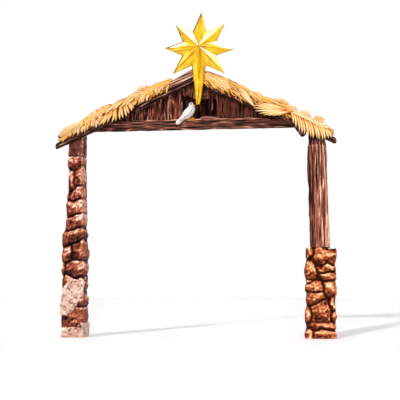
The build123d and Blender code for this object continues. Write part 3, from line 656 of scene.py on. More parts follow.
def left_pillar():
    """Left pillar: large uneven stones below, narrower ones above, with a white chip and painted shade low on the left.
    """
    floor = corners("left_course_01")[0][2]
    high = corners("left_course_11")[1]
    deep_low, deep_high = corners("left_course_03")
    middle = (deep_low + deep_high) / 2
    half = (deep_high - deep_low) / 2
    slim = (high[0] - middle[0]) / half[0]
    stones = Stones(3)
    stones.front(middle[0], middle[1] - half[1], LEFT_LOWER_STONES)
    stones.front(middle[0], middle[1] - half[1] * slim, LEFT_UPPER_STONES)
    stones.back(middle, (half[0] * BACK_SHARE, half[1]), floor, LEFT_STEP_Z)
    stones.back(middle, (half[0] * BACK_SHARE * slim, half[1] * slim), LEFT_STEP_Z, high[2])
    widths = ([0, 138, LEFT_STEP_Z, 170, 215, 250], [1.0, 1.0, 0.86, 0.80, slim + 0.02, slim])
    form = column_form(middle, half, floor, high[2], widths)
    form.points[:, 0] -= np.clip(middle[0] - form.points[:, 0], 0, None) * LEFT_SWELL
    start_z = form.points[:, 2].copy()
    relief = carve(form, stones, floor, seed=71, chip=0.55, plain_side=np.interp(start_z, [140, 165], [0.4, 0.88]),
                   joint_colour_and_shade=0.32, brush_and_shade=0.8, curve=np.interp(start_z, [120, 160], [1.7, 1.3]), lift=-0.03)
    across, up = form.points[:, 0] - middle[0], form.points[:, 2]
    chip = np.exp(-((across + 9.5) / 3.5) ** 2 - ((up - 242) / 5.0) ** 2)
    # Painted shade: a dark patch low on the pillar's left
    hollow_shade = np.exp(-((across + 9) / 9) ** 2 - ((up - 29) / 9) ** 2)
    flecks = np.clip(soft_noise(form.points, 2.6, 79) - 0.3, 0, 0.5) * np.clip((up - 140) / 20, 0, 1)
    relief = relief + 0.9 * chip - 0.3 * hollow_shade + 0.7 * flecks
    nodes = [f"left_course_{number:02d}" for number in range(1, 12)]
    piece("left_pillar_stones", form.mesh(), LEFT_STONE, nodes, relief)


def right_base():
    """Right base: rounded copper-coloured stones of many sizes."""
    low = corners("right_course_01")[0]
    high = corners("right_course_08")[1]
    middle = (low + high) / 2
    half = (high - low) / 2
    stones = Stones(8)
    stones.front(middle[0], middle[1] - half[1], RIGHT_STONES)
    stones.back(middle, (half[0] * BACK_SHARE, half[1]), 0, high[2])
    widths = ([0, 6, 14, 30, 45, 62, 71, 86, 97, 105, 112, high[2]],
              [1.0, 0.99, 0.95, 0.97, 0.96, 1.01, 0.96, 1.01, 0.95, 1.02, 1.03, 1.0])
    form = column_form(middle, half, 0, high[2], widths)
    form.points[:, 0] += np.interp(form.points[:, 2], [0, high[2]], RIGHT_LEAN)
    relief = carve(form, stones, 0, seed=91, chip=0.85, plain_side=0.45, joint_colour_and_shade=0.17, brush_and_shade=0.7, curve=1.05,
                   lift=-0.11)
    nodes = [f"right_course_{number:02d}" for number in range(1, 9)]
    piece("right_base_stones", form.mesh(), RIGHT_STONE, nodes, relief)


def prism(outline, front, back):
    """Closed body of a front-view outline between two depths."""
    count = len(outline)
    points = [(x, y, z) for y in (front, back) for x, z in outline]
    caps = [tuple(reversed(range(count))), tuple(range(count, 2 * count))]
    return np.array(points, float), caps + tube_faces(2, count)


def roughcast(name, form, node, finish, rounds, rough, seed, lift, pitting, least=0.0):
    """Cast or plastered piece: rounded edges, lumps and pits."""
    form.points = form.smoothed(rounds)
    lumps = soft_noise(form.points, 8.0, seed) + 0.7 * soft_noise(form.points, 3.2, seed + 3)
    pits = np.minimum(soft_noise(form.points, 2.4, seed + 7) + 0.15, 0)
    form.push(rough * (0.6 * lumps + 1.2 * pits) + 0.25)
    form.points[:, 2] = np.maximum(form.points[:, 2], 0)
    stain = 0.16 * soft_noise(form.points, 7.0, seed + 11)
    normal = form.normals()
    # Painted light: lighter where the surface looks up or to the right; painted highlight on what stands out and
    # painted shade in hollows; dark pits are the surface's own
    raw = 0.5 * form.proudness(4) + 0.12 * normal[:, 2] + 0.18 * np.maximum(normal[:, 0], 0) + stain
    raw = raw + pitting * pits
    piece(name, form.mesh(), finish, [node], np.maximum(toned(raw, 0.27) + lift, least))


def stonework():
    """Both columns, with their plaster."""
    left_pillar()
    right_base()
    cap, footing = (sculpt(node, 1.0)[0] for node in ("left_cap_block", "left_footing"))
    roughcast("left_cap_stone", cap, "left_cap_block", CAP_STONE, rounds=3, rough=0.8, seed=11,
              lift=-0.02, pitting=0.35)
    roughcast("left_plinth", footing, "left_footing", PLASTER, rounds=3, rough=1.1, seed=23,
              lift=-0.10, pitting=0.12, least=0.1)
    front = corners("plaster_patch")[0][1]
    patch = remeshed(*prism(PATCH_OUTLINE, front - PATCH_PROUD, front + PATCH_DEPTH), 0.8)
    ragged = soft_noise(patch.points, 5.0, 5) + 0.8 * soft_noise(patch.points, 2.5, 6)
    patch.push(PATCH_RAGGED * ragged * (np.abs(patch.normals()[:, 1]) < 0.6))
    roughcast("wall_plaster", patch, "plaster_patch", PLASTER, rounds=1, rough=0.9, seed=37,
              lift=0.10, pitting=0.10, least=0.2)


# Timber

BARK_DROP = 24.0
DECK_BARE = {"left": 34.0, "right": 1.0}


def timber(name, node, finish, along, voxel, depth, seed, coarse=3.2, stretch=9.0,
           side_light=0.03, bare_reach=0.0, spread=0.26, lift=0.0, swell=0.0, dark_above=1e6):
    """Rough timber: ridges and cracks that run along the grain."""
    forms = []
    relief = []
    for i, form in enumerate(sculpt(node, voxel)):
        own = seed + 13 * i
        form.points = form.smoothed(2)
        grain = stretched(form.points, along, stretch)
        ridge = ridged(grain, coarse, own)
        fibre = soft_noise(grain, coarse * 0.45, own + 3)
        wave = soft_noise(form.points, 14.0, own + 6)
        form.push(depth * (0.55 * ridge + 0.35 * fibre + 0.35 * wave) - 0.1 * depth + swell)
        normal = form.normals()
        bare = np.abs(form.points[:, 0]) < bare_reach
        shade = np.where(bare, 0.0, -0.22) if bare_reach else 0.0
        light = 0.10 * normal[:, 2] + side_light * normal[:, 0]
        raw = 0.22 * ridge + 0.16 * fibre + 0.6 * form.proudness(4) + light
        shade = shade - 0.2 * (form.points[:, 2] > dark_above)
        relief.append(toned(raw, spread) + shade + lift)
        forms.append(form)
    piece(name, joined(form.mesh() for form in forms), finish, [node], np.concatenate(relief))


def bark_edge():
    """Flakes of bark that stand up round the log where its neck begins."""
    points = solids("log_post")[0][0]
    top = points[:, 2].max() - BARK_DROP
    ring = points[np.abs(points[:, 2] - top) < 2]
    middle = (ring.max(axis=0) + ring.min(axis=0)) / 2
    radius = (ring[:, 1].max() - ring[:, 1].min()) / 2
    flakes = Straw(61)
    for turn in np.linspace(0, 2 * math.pi, 15, endpoint=False):
        out = np.array([math.cos(turn), math.sin(turn), 0.0])
        root = middle + out * (radius - 1.4)
        tip = middle + out * (radius - 1.8)
        root[2] = top - flakes.between(7, 12)
        tip[2] = top + flakes.between(1, 9)
        flakes.blade(root, tip, out, flakes.between(4, 7), out * 0.2, thick=0.2, shade=flakes.between(0.5, 0.9))
    flakes.made("log_bark_edge", [], BARK, "bark")


def loft_ledge():
    """Broken log along the beam's upper front edge, below the loft."""
    ledge = Straw(71)
    y = BEAM_LOW[1] + 3.2
    z = BEAM_HIGH[2] + 0.2
    ledge.bundle([(7, y, z), (15, y - 0.8, z + 0.8), (26, y - 0.6, z + 0.3), (38, y, z - 0.8)],
                 [(6, 4), (8, 6), (7, 5), (5, 3)], 7, 0.5, 0.15, 0.2)
    ledge.made("loft_ledge", [], TIMBER, "dark_timber")


def timberwork():
    """Frame, boards, roof planks and log."""
    down = {"left": np.array([-COS, 0.0, -SIN]), "right": np.array([COS, 0.0, -SIN])}
    timber("tie_beam_wood", "tie_beam", TIMBER, ALONG_X, 0.9, 1.1, 3, coarse=2.6, spread=0.33, lift=-0.10)
    for side, seed in (("left", 5), ("right", 7)):
        timber(f"{side}_barge_wood", f"{side}_barge_log", SHADED_BARGE, down[side], 0.8, 0.9, seed, coarse=2.4)
    # The right gable's boards are painted darker and flatter than the left's: painted shade under the roof's overhang
    for side, seed, spread, lift in (("left", 41, 0.29, 0.06), ("right", 83, 0.17, -0.10)):
        timber(f"{side}_gable_wood", f"front_boards_{side}", BOARD, UPWARD, 0.75, 1.2, seed, coarse=2.6, stretch=7.0,
               spread=spread, lift=lift)
    timber("loft_stub_wood", "loft_stubs", BOARD, UPWARD, 0.7, 0.7, 131)
    # The back wall behind the loft is painted dark and flat: painted shade inside the loft
    timber("back_wall_wood", "back_boards", BOARD, UPWARD, 1.0, 0.8, 151, spread=0.12, lift=-0.24, swell=0.7)
    timber("ridge_block_wood", "ridge_block", TIMBER, UPWARD, 0.9, 0.5, 211)
    timber("corbel_wood", "right_corbel", TIMBER, ALONG_X, 0.7, 0.7, 223)
    for number in (1, 2, 3):
        for side in ("left", "right"):
            node = f"{side}_deck_plank_{number}"
            timber(f"{node}_wood", node, ROOF_BOARD, down[side], 1.1, 1.1, 230 + number,
                   bare_reach=DECK_BARE[side], lift=0.05)
    timber("log_bark", "log_post", BARK, UPWARD, 0.7, 1.8, 307, coarse=2.9, stretch=13.0, side_light=0.24,
           spread=0.34, lift=-0.06, dark_above=corners("log_post")[1][2] - BARK_DROP)
    bark_edge()
    loft_ledge()


# Thatch: s is a way down a slope from the ridge, h a way above the deck's underside, out a way before the front

THATCH_END = 194.0
# How much of the sheaves' thickness above the deck is left at ways down each slope
MASS_KEEP = {
    LEFT: ([20, 40, 80, 95, 110, 130, 140, 160, 188, 200], [0.65, 0.65, 0.7, 0.55, 0.6, 0.75, 0.7, 0.4, 0.3, 0.3]),
    RIGHT: ([20, 50, 70, 95, 122, 142, 188, 200], [0.75, 0.8, 0.6, 0.35, 0.5, 0.3, 0.3, 0.2])}
# Height of the straw's upper edge in the front view at ways down each slope
UPPER_EDGE = {
    LEFT: ([25, 45, 58, 66, 74, 84, 100, 108, 128, 136, 146, 156, 168, 178, 190, 198],
           [9.5, 11, 11.5, 14.5, 14, 12.6, 12.2, 13, 14.5, 14, 11.8, 9.2, 7.8, 7.2, 7.5, 4]),
    RIGHT: ([10, 30, 47, 58, 69, 92, 104, 114, 122, 130, 142, 149, 158, 168, 178, 188, 198],
            [12.5, 14, 16.3, 15.5, 13.7, 12.6, 11, 13.5, 16, 15.6, 14, 13.4, 12.5, 9.5, 9, 8.5, 5.5])}
BLADE_STEPS = np.linspace(0, 1, 9)
BLADE_WIDTH = np.interp(BLADE_STEPS, [0, 0.12, 0.45, 0.78, 1], [0.45, 0.8, 1.0, 0.72, 0.12])
# Painted shade darkens each blade towards its root, where it lies under others
BLADE_ROOT_SHADE = np.interp(BLADE_STEPS, [0, 0.4, 0.85, 1], [0.25, 0.8, 1.0, 0.85]).reshape(-1, 1)
BLADE_SECTION = np.array([(-1, 0), (-0.5, 0.55), (0, 1.0), (0.5, 0.55), (1, 0), (0, -0.6)])
# Painted highlight along each blade's rib, painted shade at its edges and on its underside
BLADE_SECTION_SHADE = np.array([0.26, 0.66, 1.0, 0.70, 0.22, 0.10])
BUNDLE_SIDES = 36
TINT_REACH = 0.6
# Leaves: start, end, step, then low and high of root height, length, fall in degrees, width and way out, then tint
# and low and high of shade
PLAIN_SHADE = (0.7, 1.0)
LEFT_LEAVES = (
    (32, 180, 3.4, (2, 6), (8, 14), (15, 40), (2.6, 3.6), (0.2, 0.9), 0.0, (0.45, 0.75)),
    (36, 152, 9.5, (7, 12), (16, 34), (-2, 12), (3.6, 5.8), (1.6, 3.0), 0.55, (0.5, 1.0)),
    (60, 76, 6.0, (12.5, 15.0), (8, 14), (-8, 6), (3.4, 5.0), (0.2, 1.6), 0.9, PLAIN_SHADE),
    (114, 144, 9.0, (12.0, 14.0), (8, 14), (-12, 4), (3.0, 4.4), (0.2, 1.6), 0.8, PLAIN_SHADE))
LEFT_THIN_LEAVES = (62, 150, 9.0, (6, 12), (14, 26), (-6, 12), (1.2, 1.8), (2.6, 3.4), 0.8, PLAIN_SHADE)
RIGHT_LEAVES = (
    (12, 190, 3.2, (1, 6), (8, 16), (12, 35), (2.6, 3.6), (0.2, 0.9), 0.2, (0.55, 0.85)),
    (183, 194, 2.2, (4, 9), (9, 13), (20, 45), (3.0, 4.0), (0.6, 2.2), 0.8, PLAIN_SHADE),
    (9, 44, 3.2, (5, 14), (20, 32), (4, 14), (2.0, 3.0), (3.2, 4.0), 0.6, (0.85, 1.0)),
    (9, 64, 2.4, (1, 6), (10, 18), (14, 26), (2.4, 3.4), (2.6, 3.6), 0.4, (0.75, 1.0)),
    (16, 80, 2.8, (-1, 3), (6, 10), (20, 42), (2.4, 3.2), (1.8, 3.0), -0.7, (0.45, 0.8)),
    (12, 130, 5.0, (3, 13), (12, 26), (-6, 26), (1.2, 1.8), (3.4, 4.4), 0.6, PLAIN_SHADE),
    (60, 116, 5.0, (8, 12), (14, 24), (4, 18), (3.6, 5.0), (2.0, 3.0), 0.3, (0.5, 1.0)),
    (66, 104, 3.6, (3, 8), (12, 20), (14, 30), (3.4, 4.6), (2.0, 3.0), 0.3, (0.5, 1.0)),
    (144, 176, 5.0, (7, 10), (10, 16), (2, 14), (3.4, 4.6), (1.2, 2.4), 0.45, PLAIN_SHADE))
# Fingers: start, end, step, then low and high of root height, reach and size, then tint
LEFT_FINGERS = (
    (33, 90, 4.6, (3, 6.5), (5, 9), (2.8, 4.0), 0.3),
    (46, 160, 8.0, (7, 10), (8, 12), (3.4, 4.8), 0.35),
    (130, 178, 4.4, (3, 6.5), (5, 9.5), (2.8, 4.0), 0.45))
# Tufts: strands, tint, bluntness and twist, then knots of s, h, out, width and height
LEFT_TUFTS = (
    (11, 0.75, 0.25, 0.6, (158, 6.6, 1.4, 6, 6), (173, 7.6, 2.4, 9, 9.5), (186, 7.4, 2.6, 9, 9.5),
     (196, 5.4, 2, 6, 6.5)),
    (9, 1.0, 0.35, 0.6, (61, 12, 0, 6, 5), (69, 16.0, 1, 8, 7), (81, 13, 1, 6, 5)),
    (7, 0.2, 0.08, 0.6, (184, 1.5, 0, 3.6, 3.6), (192, 1.2, 0, 4.2, 4.2), (200, 0.8, 0, 4.0, 4.0)),
    (7, -0.6, 0.2, 0.6, (171, 10.0, -1, 2, 2), (173, 11.5, 0, 2.2, 2.2), (174.4, 12.3, 0, 2, 2)),
    (7, -0.6, 0.2, 0.6, (133, 14.0, -1, 2, 2), (135, 15.5, 0, 2.2, 2.2), (136.4, 16.3, 0, 2, 2)))
RIGHT_HEAD = (17, 0.55, 0.2, 0.3, (7, 8.5, 0, 6, 10), (24, 7.5, 0.5, 7, 15), (42, 7, 0.8, 8, 17), (58, 5, 1, 6, 12))
RIGHT_TUFTS = (
    (9, -0.9, 0.25, 0.6, (57, 10.6, 2.6, 7, 5.5), (66, 11.4, 3.2, 8, 6.5), (79, 8.6, 2.8, 6, 4.5)),
    (9, 0.6, 0.25, 0.2, (60, 4, 1.5, 5, 7), (72, 2.5, 2, 6, 10), (88, -2, 2, 4, 5)),
    (9, 0.5, 0.25, 0.6, (112, 13, 0, 6, 5), (122, 16.5, 1, 7, 6), (134, 14.2, 1, 5, 4)),
    (9, 0.85, 0.35, 0.6, (149, 10.4, 0, 7, 6), (158, 13.4, 1, 8, 8), (164, 10.6, 1, 7, 5.5)),
    (7, 1.1, 0.35, 0.6, (135, 10.2, 2.4, 5, 4), (141, 13.4, 2.6, 6, 5.5), (147, 9.6, 2.4, 5, 4)),
    (7, 0.8, 0.3, 0.6, (80, 9, 0, 6, 5), (90, 12.8, 1, 7, 5.5), (99, 9.5, 1, 5, 4)),
    (9, 0.6, 0.3, 0.6, (166, 7, 0, 6, 5), (182, 7.5, 0.6, 7, 6), (196, 6.6, 0.6, 6, 6)))
# Tips of single leaves as s and h
LEFT_SPIKES = ((124, 17), (128, 19), (131, 17.5), (135, 17.5), (140, 17.5), (145, 16.5))
LEFT_FAN = ((88, -5), (92.5, -8), (97, -9.5), (102, -12.2), (107, -11.2), (112, -12), (117.5, -9.8), (123, -9.8),
            (128.5, -7.2), (135, -7.4), (141, -5))
RIGHT_FEATHER = ((126, -4.5), (120, -7.4), (114, -9.6), (108, -11.2), (102, -11.6), (96, -10.4), (92, -7.6),
                 (91, -4.2), (94, -0.6), (99, 2.6), (106, 5.4))
FEATHER_TIE = (140, 7.5, 3.6)
FROND_LEAFLETS = 14


def roof(side, s, h, y):
    """Place on a slope at a depth."""
    return np.array([side * (s * COS + h * SIN), y, RIDGE_Z - s * SIN + h * COS])


def before(side, s, h, out):
    """Place before the thatch's front face."""
    return roof(side, s, h, THATCH_FRONT - out)


def across_and_out(line, face):
    """Unit ways across a line, and out of it on the side of a face."""
    way = np.gradient(line, axis=0)
    way /= np.linalg.norm(way, axis=1, keepdims=True)
    across = np.cross(way, face)
    across /= np.maximum(np.linalg.norm(across, axis=1, keepdims=True), 1e-6)
    return across, np.cross(across, way)


class Straw:
    """Gathers blades and bundles of straw into one mesh."""

    def __init__(self, seed):
        self.random = np.random.default_rng(seed)
        self.points = []
        self.relief = []
        self.tint = []
        self.faces = []
        self.count = 0

    def between(self, low, high):
        return self.random.uniform(low, high)

    def near(self, middle, reach):
        return middle + self.between(-reach, reach)

    def tube(self, rings, relief, tint):
        """Closed skin through rings of as many points each."""
        rows, sides, _ = rings.shape
        start = self.count
        self.points.append(rings.reshape(-1, 3))
        self.relief.append(np.broadcast_to(relief, (rows, sides)).reshape(-1))
        self.tint.append(np.full(rows * sides, tint))
        self.faces += tube_faces(rows, sides, start)
        self.faces.append(tuple(start + j for j in reversed(range(sides))))
        self.faces.append(tuple(start + (rows - 1) * sides + j for j in range(sides)))
        self.count += rows * sides

    def blade(self, root, tip, face, width, bend=(0, 0, 0), tint=0.5, thick=0.34, shade=1.0, curl=0.0, wave=0.0):
        """Leaf from a root to a tip, ridged on the side that faces out."""
        t = BLADE_STEPS.reshape(-1, 1)
        line = root + (tip - root) * t + np.asarray(bend) * 4 * t * (1 - t)
        line = line + np.asarray(face) * curl * t * t
        side = np.cross(tip - root, face)
        line = line + side / max(np.linalg.norm(side), 1e-6) * wave * np.sin(2 * math.pi * t)
        across, out = across_and_out(line, face)
        half = (BLADE_WIDTH * width / 2).reshape(-1, 1, 1)
        section = BLADE_SECTION.reshape(1, -1, 2)
        rings = line[:, None, :] + half * section[:, :, :1] * across[:, None, :]
        rings = rings + half * thick * 2 * section[:, :, 1:] * out[:, None, :]
        self.tube(rings, BLADE_SECTION_SHADE * BLADE_ROOT_SHADE * shade, tint)

    def bundle(self, path, sizes, strands, tint, blunt, twist=0.6, steps=26):
        """Thick bunch of strands along a path, with a rounded nose at each end."""
        path = np.asarray(path, float)
        sizes = np.asarray(sizes, float)
        marks = np.linspace(0, 1, len(path))
        t = np.linspace(0, 1, steps)
        line = np.array([np.interp(t, marks, path[:, i]) for i in range(3)]).T
        for _ in range(3):
            line[1:-1] = (line[:-2] + 2 * line[1:-1] + line[2:]) / 4
        wide, tall = (np.interp(t, marks, sizes[:, i]) for i in range(2))
        near = np.clip(t / blunt, 0, 1)
        far = np.clip((1 - t) / blunt, 0, 1)
        nose = np.sqrt(np.clip(1 - (1 - np.minimum(near, far)) ** 2, 0.02, 1))
        across, out = across_and_out(line, FRONTWARD)
        turn = np.linspace(0, 2 * math.pi, BUNDLE_SIDES, endpoint=False)
        phase = self.between(0, 6)
        wave = np.abs(np.sin(strands * turn[None, :] / 2 + twist * 3 * t[:, None] + phase))
        swell = 0.84 + 0.20 * wave
        a = (np.cos(turn)[None, :] * swell * (tall * nose)[:, None] / 2)[..., None] * across[:, None, :]
        b = (np.sin(turn)[None, :] * swell * (wide * nose)[:, None] / 2)[..., None] * out[:, None, :]
        rings = line[:, None, :] + a + b
        rough = 0.35 * soft_noise(rings.reshape(-1, 3), 3.0, int(phase * 100)).reshape(steps, -1, 1)
        rings = rings + rough * (rings - line[:, None, :]) / np.maximum(tall, 1)[:, None, None]
        # Painted shade: darker in the grooves between the strands, lighter on their crests
        self.tube(rings, 0.10 + 0.85 * wave, tint)

    def tuft(self, side, strands, tint, blunt, twist, *knots):
        """Bundle along a slope's front, each knot with its s, h, out, width and height."""
        path = [before(side, *knot[:3]) for knot in knots]
        self.bundle(path, [knot[3:] for knot in knots], strands, tint, blunt, twist)

    def made(self, name, nodes, finish=STRAW, slot="straw"):
        """The heap as one piece."""
        made = piece(name, (np.vstack(self.points), self.faces), finish, nodes,
                     np.concatenate(self.relief), tint=np.concatenate(self.tint))
        shape = bmesh.new()
        shape.from_mesh(made.data)
        bmesh.ops.recalc_face_normals(shape, faces=shape.faces)
        shape.to_mesh(made.data)
        shape.free()


def thatch_mass(node, side, seed):
    """The sheaf itself, grooved down the slope and thinned towards the eave; gives its ways down and heights."""
    way = np.array([side * COS, 0.0, -SIN])
    out = np.array([side * SIN, 0.0, COS])
    ridge_line = np.array([0.0, 0.0, RIDGE_Z])
    form = sculpt(node, 1.1)[0]
    form.points = form.smoothed(5)
    s = (form.points - ridge_line) @ way
    h = (form.points - ridge_line) @ out
    keep = np.interp(s, *MASS_KEEP[side])
    form.points = form.points - np.outer((h - DECK_T) * (1 - keep), out)
    grain = stretched(form.points, way, 10.0)
    ridge = ridged(grain, 3.4, seed)
    form.push(0.7 * ridge + 0.35 * soft_noise(grain, 1.5, seed + 2))
    # Painted shade in the grooves and hollows, lighter on what stands out
    relief = 0.42 + 0.22 * ridge + 0.25 * form.proudness(4)
    tint = 0.35 + 0.3 * soft_noise(grain, 9.0, seed + 4)
    piece(f"{node}_mass", form.mesh(), STRAW, [node], relief, tint=tint)
    return np.column_stack([(form.points - ridge_line) @ way, (form.points - ridge_line) @ out])


def cover(straw, side, start, lid, rows):
    """Blades laid down the top of a slope's sheaves, in overlapping rows."""
    out = roof(side, 0, 1, 0) - roof(side, 0, 0, 0)
    marks = np.arange(start - 10, THATCH_END + 12, 4.0)
    heights = [lid[np.abs(lid[:, 0] - s) < 4.0, 1].max(initial=DECK_T) for s in marks]
    for along in np.linspace(start, THATCH_END - 14, rows):
        for y in np.arange(THATCH_FRONT + 5.0, THATCH_BACK, 2.5):
            s = straw.near(along, 5)
            tip_s = min(s + straw.between(16, 30), THATCH_END)
            root = roof(side, s, np.interp(s, marks, heights) - 1.8, straw.near(y, 1.2))
            tip_h = np.interp(tip_s, marks, heights) + straw.between(-0.8, 0.6)
            tip = roof(side, tip_s, tip_h, straw.near(y, 3))
            straw.blade(root, tip, out, straw.between(2.2, 4.0), out * straw.between(0.3, 1.2),
                        straw.near(0.45, TINT_REACH), shade=straw.between(0.55, 1.0))


def leaves(straw, side, start, end, step, root_h, length, fall, width, out, tint, shade):
    """Leaves on the thatch's edge, each falling off the slope's line by an angle."""
    s = start
    while s < end:
        reach = straw.between(*length)
        turn = math.radians(straw.between(*fall))
        h = straw.between(*root_h)
        y = THATCH_FRONT - straw.between(*out)
        root = roof(side, s, h, y + 1.4)
        tip = roof(side, s + reach * math.cos(turn), h - reach * math.sin(turn), y)
        face = FRONTWARD + np.array([straw.between(-0.4, 0.4), 0.0, straw.between(-0.3, 0.6)])
        straw.blade(root, tip, face, straw.between(*width), (0, -0.6, 0), straw.near(tint, TINT_REACH),
                    shade=straw.between(*shade), curl=straw.between(0, 1.0), wave=straw.between(-0.9, 0.9))
        s += step * straw.between(0.6, 1.4)


def fingers(straw, side, start, end, step, root_h, reach, size, tint):
    """Blunt tufts that hang from the thatch's lower edge."""
    s = start
    while s < end:
        fall = straw.between(*reach)
        h = straw.between(*root_h)
        wide = straw.between(*size)
        y = THATCH_FRONT - straw.between(1.4, 2.6)
        path = [roof(side, s, h, y + 0.8), roof(side, s + 0.6 * fall, h - 0.45 * fall, y - 0.6),
                roof(side, s + 0.9 * fall, h - fall, y)]
        straw.bundle(path, [(wide, wide), (1.1 * wide, 1.1 * wide), (0.7 * wide, 0.7 * wide)], 5,
                     straw.near(tint, TINT_REACH), 0.25, straw.between(-0.5, 0.5), 12)
        s += step * straw.between(0.7, 1.4)


def back_edge(straw, side, start):
    """Strands along the back edge of the thatch."""
    for level in (8.5, 11, 13.5):
        for s in np.arange(start, THATCH_END - 14, 8.0):
            y = THATCH_BACK + straw.between(0.2, 1.2)
            root = roof(side, s, straw.near(level, 1), y - 1)
            tip = roof(side, min(s + straw.between(18, 30), THATCH_END), level - straw.between(0, 3), y)
            straw.blade(root, tip, BACKWARD, straw.between(2.6, 4.2), (0, 0.5, 0), 0.5 + straw.between(-0.5, 0.4))


def eave(straw, side):
    """Short leaves that hang over the eave's end."""
    way = roof(side, 1, 0, 0) - roof(side, 0, 0, 0)
    for y in np.arange(THATCH_FRONT + 1, THATCH_BACK, 2.3):
        s = THATCH_END - straw.between(9, 15)
        root = roof(side, s, np.interp(s, *UPPER_EDGE[side]) - 1, y)
        tip = roof(side, THATCH_END + straw.between(1.5, 3.5), straw.between(1, 4), straw.near(y, 1.5))
        straw.blade(root, tip, way + UPWARD, straw.between(2.6, 4.0), way * 1.6, straw.near(0.5, 0.4))


def clumps_down(straw, side, start, stop, step, end, tints=(-0.6, 1.1)):
    """Clumps of strands that run down the front edge, each over the head of the next."""
    for s in np.arange(start, stop, step):
        last = min(s + straw.between(26, 40), end)
        y = THATCH_FRONT - straw.between(0.0, 1.4)
        tall = straw.between(5.5, 7.5)
        h = np.interp(s, *UPPER_EDGE[side]) - tall / 2 + straw.between(-0.6, 0.4)
        low = np.interp(last, *UPPER_EDGE[side]) - straw.between(4.0, 8.0)
        path = [roof(side, s, h, y + 1.5), roof(side, s + 0.4 * (last - s), straw.near(h, 0.6), y - 0.8),
                roof(side, s + 0.75 * (last - s), (h + low) / 2, y - 1.0), roof(side, last, low, y - 0.4)]
        straw.bundle(path, [(4, 4), (6, tall), (5, tall * 0.8), (2.5, 2.0)], straw.random.integers(5, 9),
                     straw.between(*tints), 0.28, straw.between(-0.8, 0.8))


def slope_cover(side, name, seed, start, back_start, lid, rows):
    """Straw over the top, the back edge and the eave of a slope."""
    straw = Straw(seed)
    cover(straw, side, start, lid, rows)
    back_edge(straw, side, back_start)
    eave(straw, side)
    straw.made(name, [])


def left_thatch(lid):
    """Left slope: clumps down the edge, hanging fingers, a fan of leaflets and a rounded nose."""
    slope_cover(LEFT, "left_thatch_cover", 5, 28, 28, lid, 16)

    clumps = Straw(13)
    clumps_down(clumps, LEFT, 30, 62, 8.0, 196.0, (-0.5, 0.2))
    clumps_down(clumps, LEFT, 62, 172, 9.5, 196.0)
    for tuft in LEFT_TUFTS:
        clumps.tuft(LEFT, *tuft)
    clumps.made("left_thatch_clumps", [])

    edge = Straw(9)
    for row in LEFT_LEAVES:
        leaves(edge, LEFT, *row)
    for row in LEFT_FINGERS:
        fingers(edge, LEFT, *row)
    leaves(edge, LEFT, *LEFT_THIN_LEAVES)
    for s, h in LEFT_SPIKES:
        edge.blade(before(LEFT, s - 5, 10, 0), before(LEFT, s, h, 1), FRONTWARD, 3.4, (0, -0.6, 0), 0.7)
    for tip_s, tip_h in LEFT_FAN:
        root = before(LEFT, 96 + 0.55 * (tip_s - 96), edge.near(6.0, 1.2), 2.2)
        tip = roof(LEFT, tip_s, edge.near(tip_h, 1), THATCH_FRONT - 4.6 - edge.between(0, 0.6))
        edge.blade(root, tip, FRONTWARD, edge.between(3.4, 4.6), (edge.between(-1.6, 1.6), -1.4, 0),
                   0.6 + edge.between(-0.5, 0.4), curl=edge.between(0, 1.2), wave=edge.between(-0.8, 0.8))
    for root_s, tip_s, h in ((84, 104, 5), (90, 116, 6.5), (97, 126, 7), (78, 98, 4)):
        edge.blade(before(LEFT, root_s, h + 5, 2.4), before(LEFT, tip_s, h - 2, 4.8), FRONTWARD, 5.6,
                   (0, -1.6, 0.8), 0.6)
    edge.made("left_leaf_fringe", ["left_fringe"])


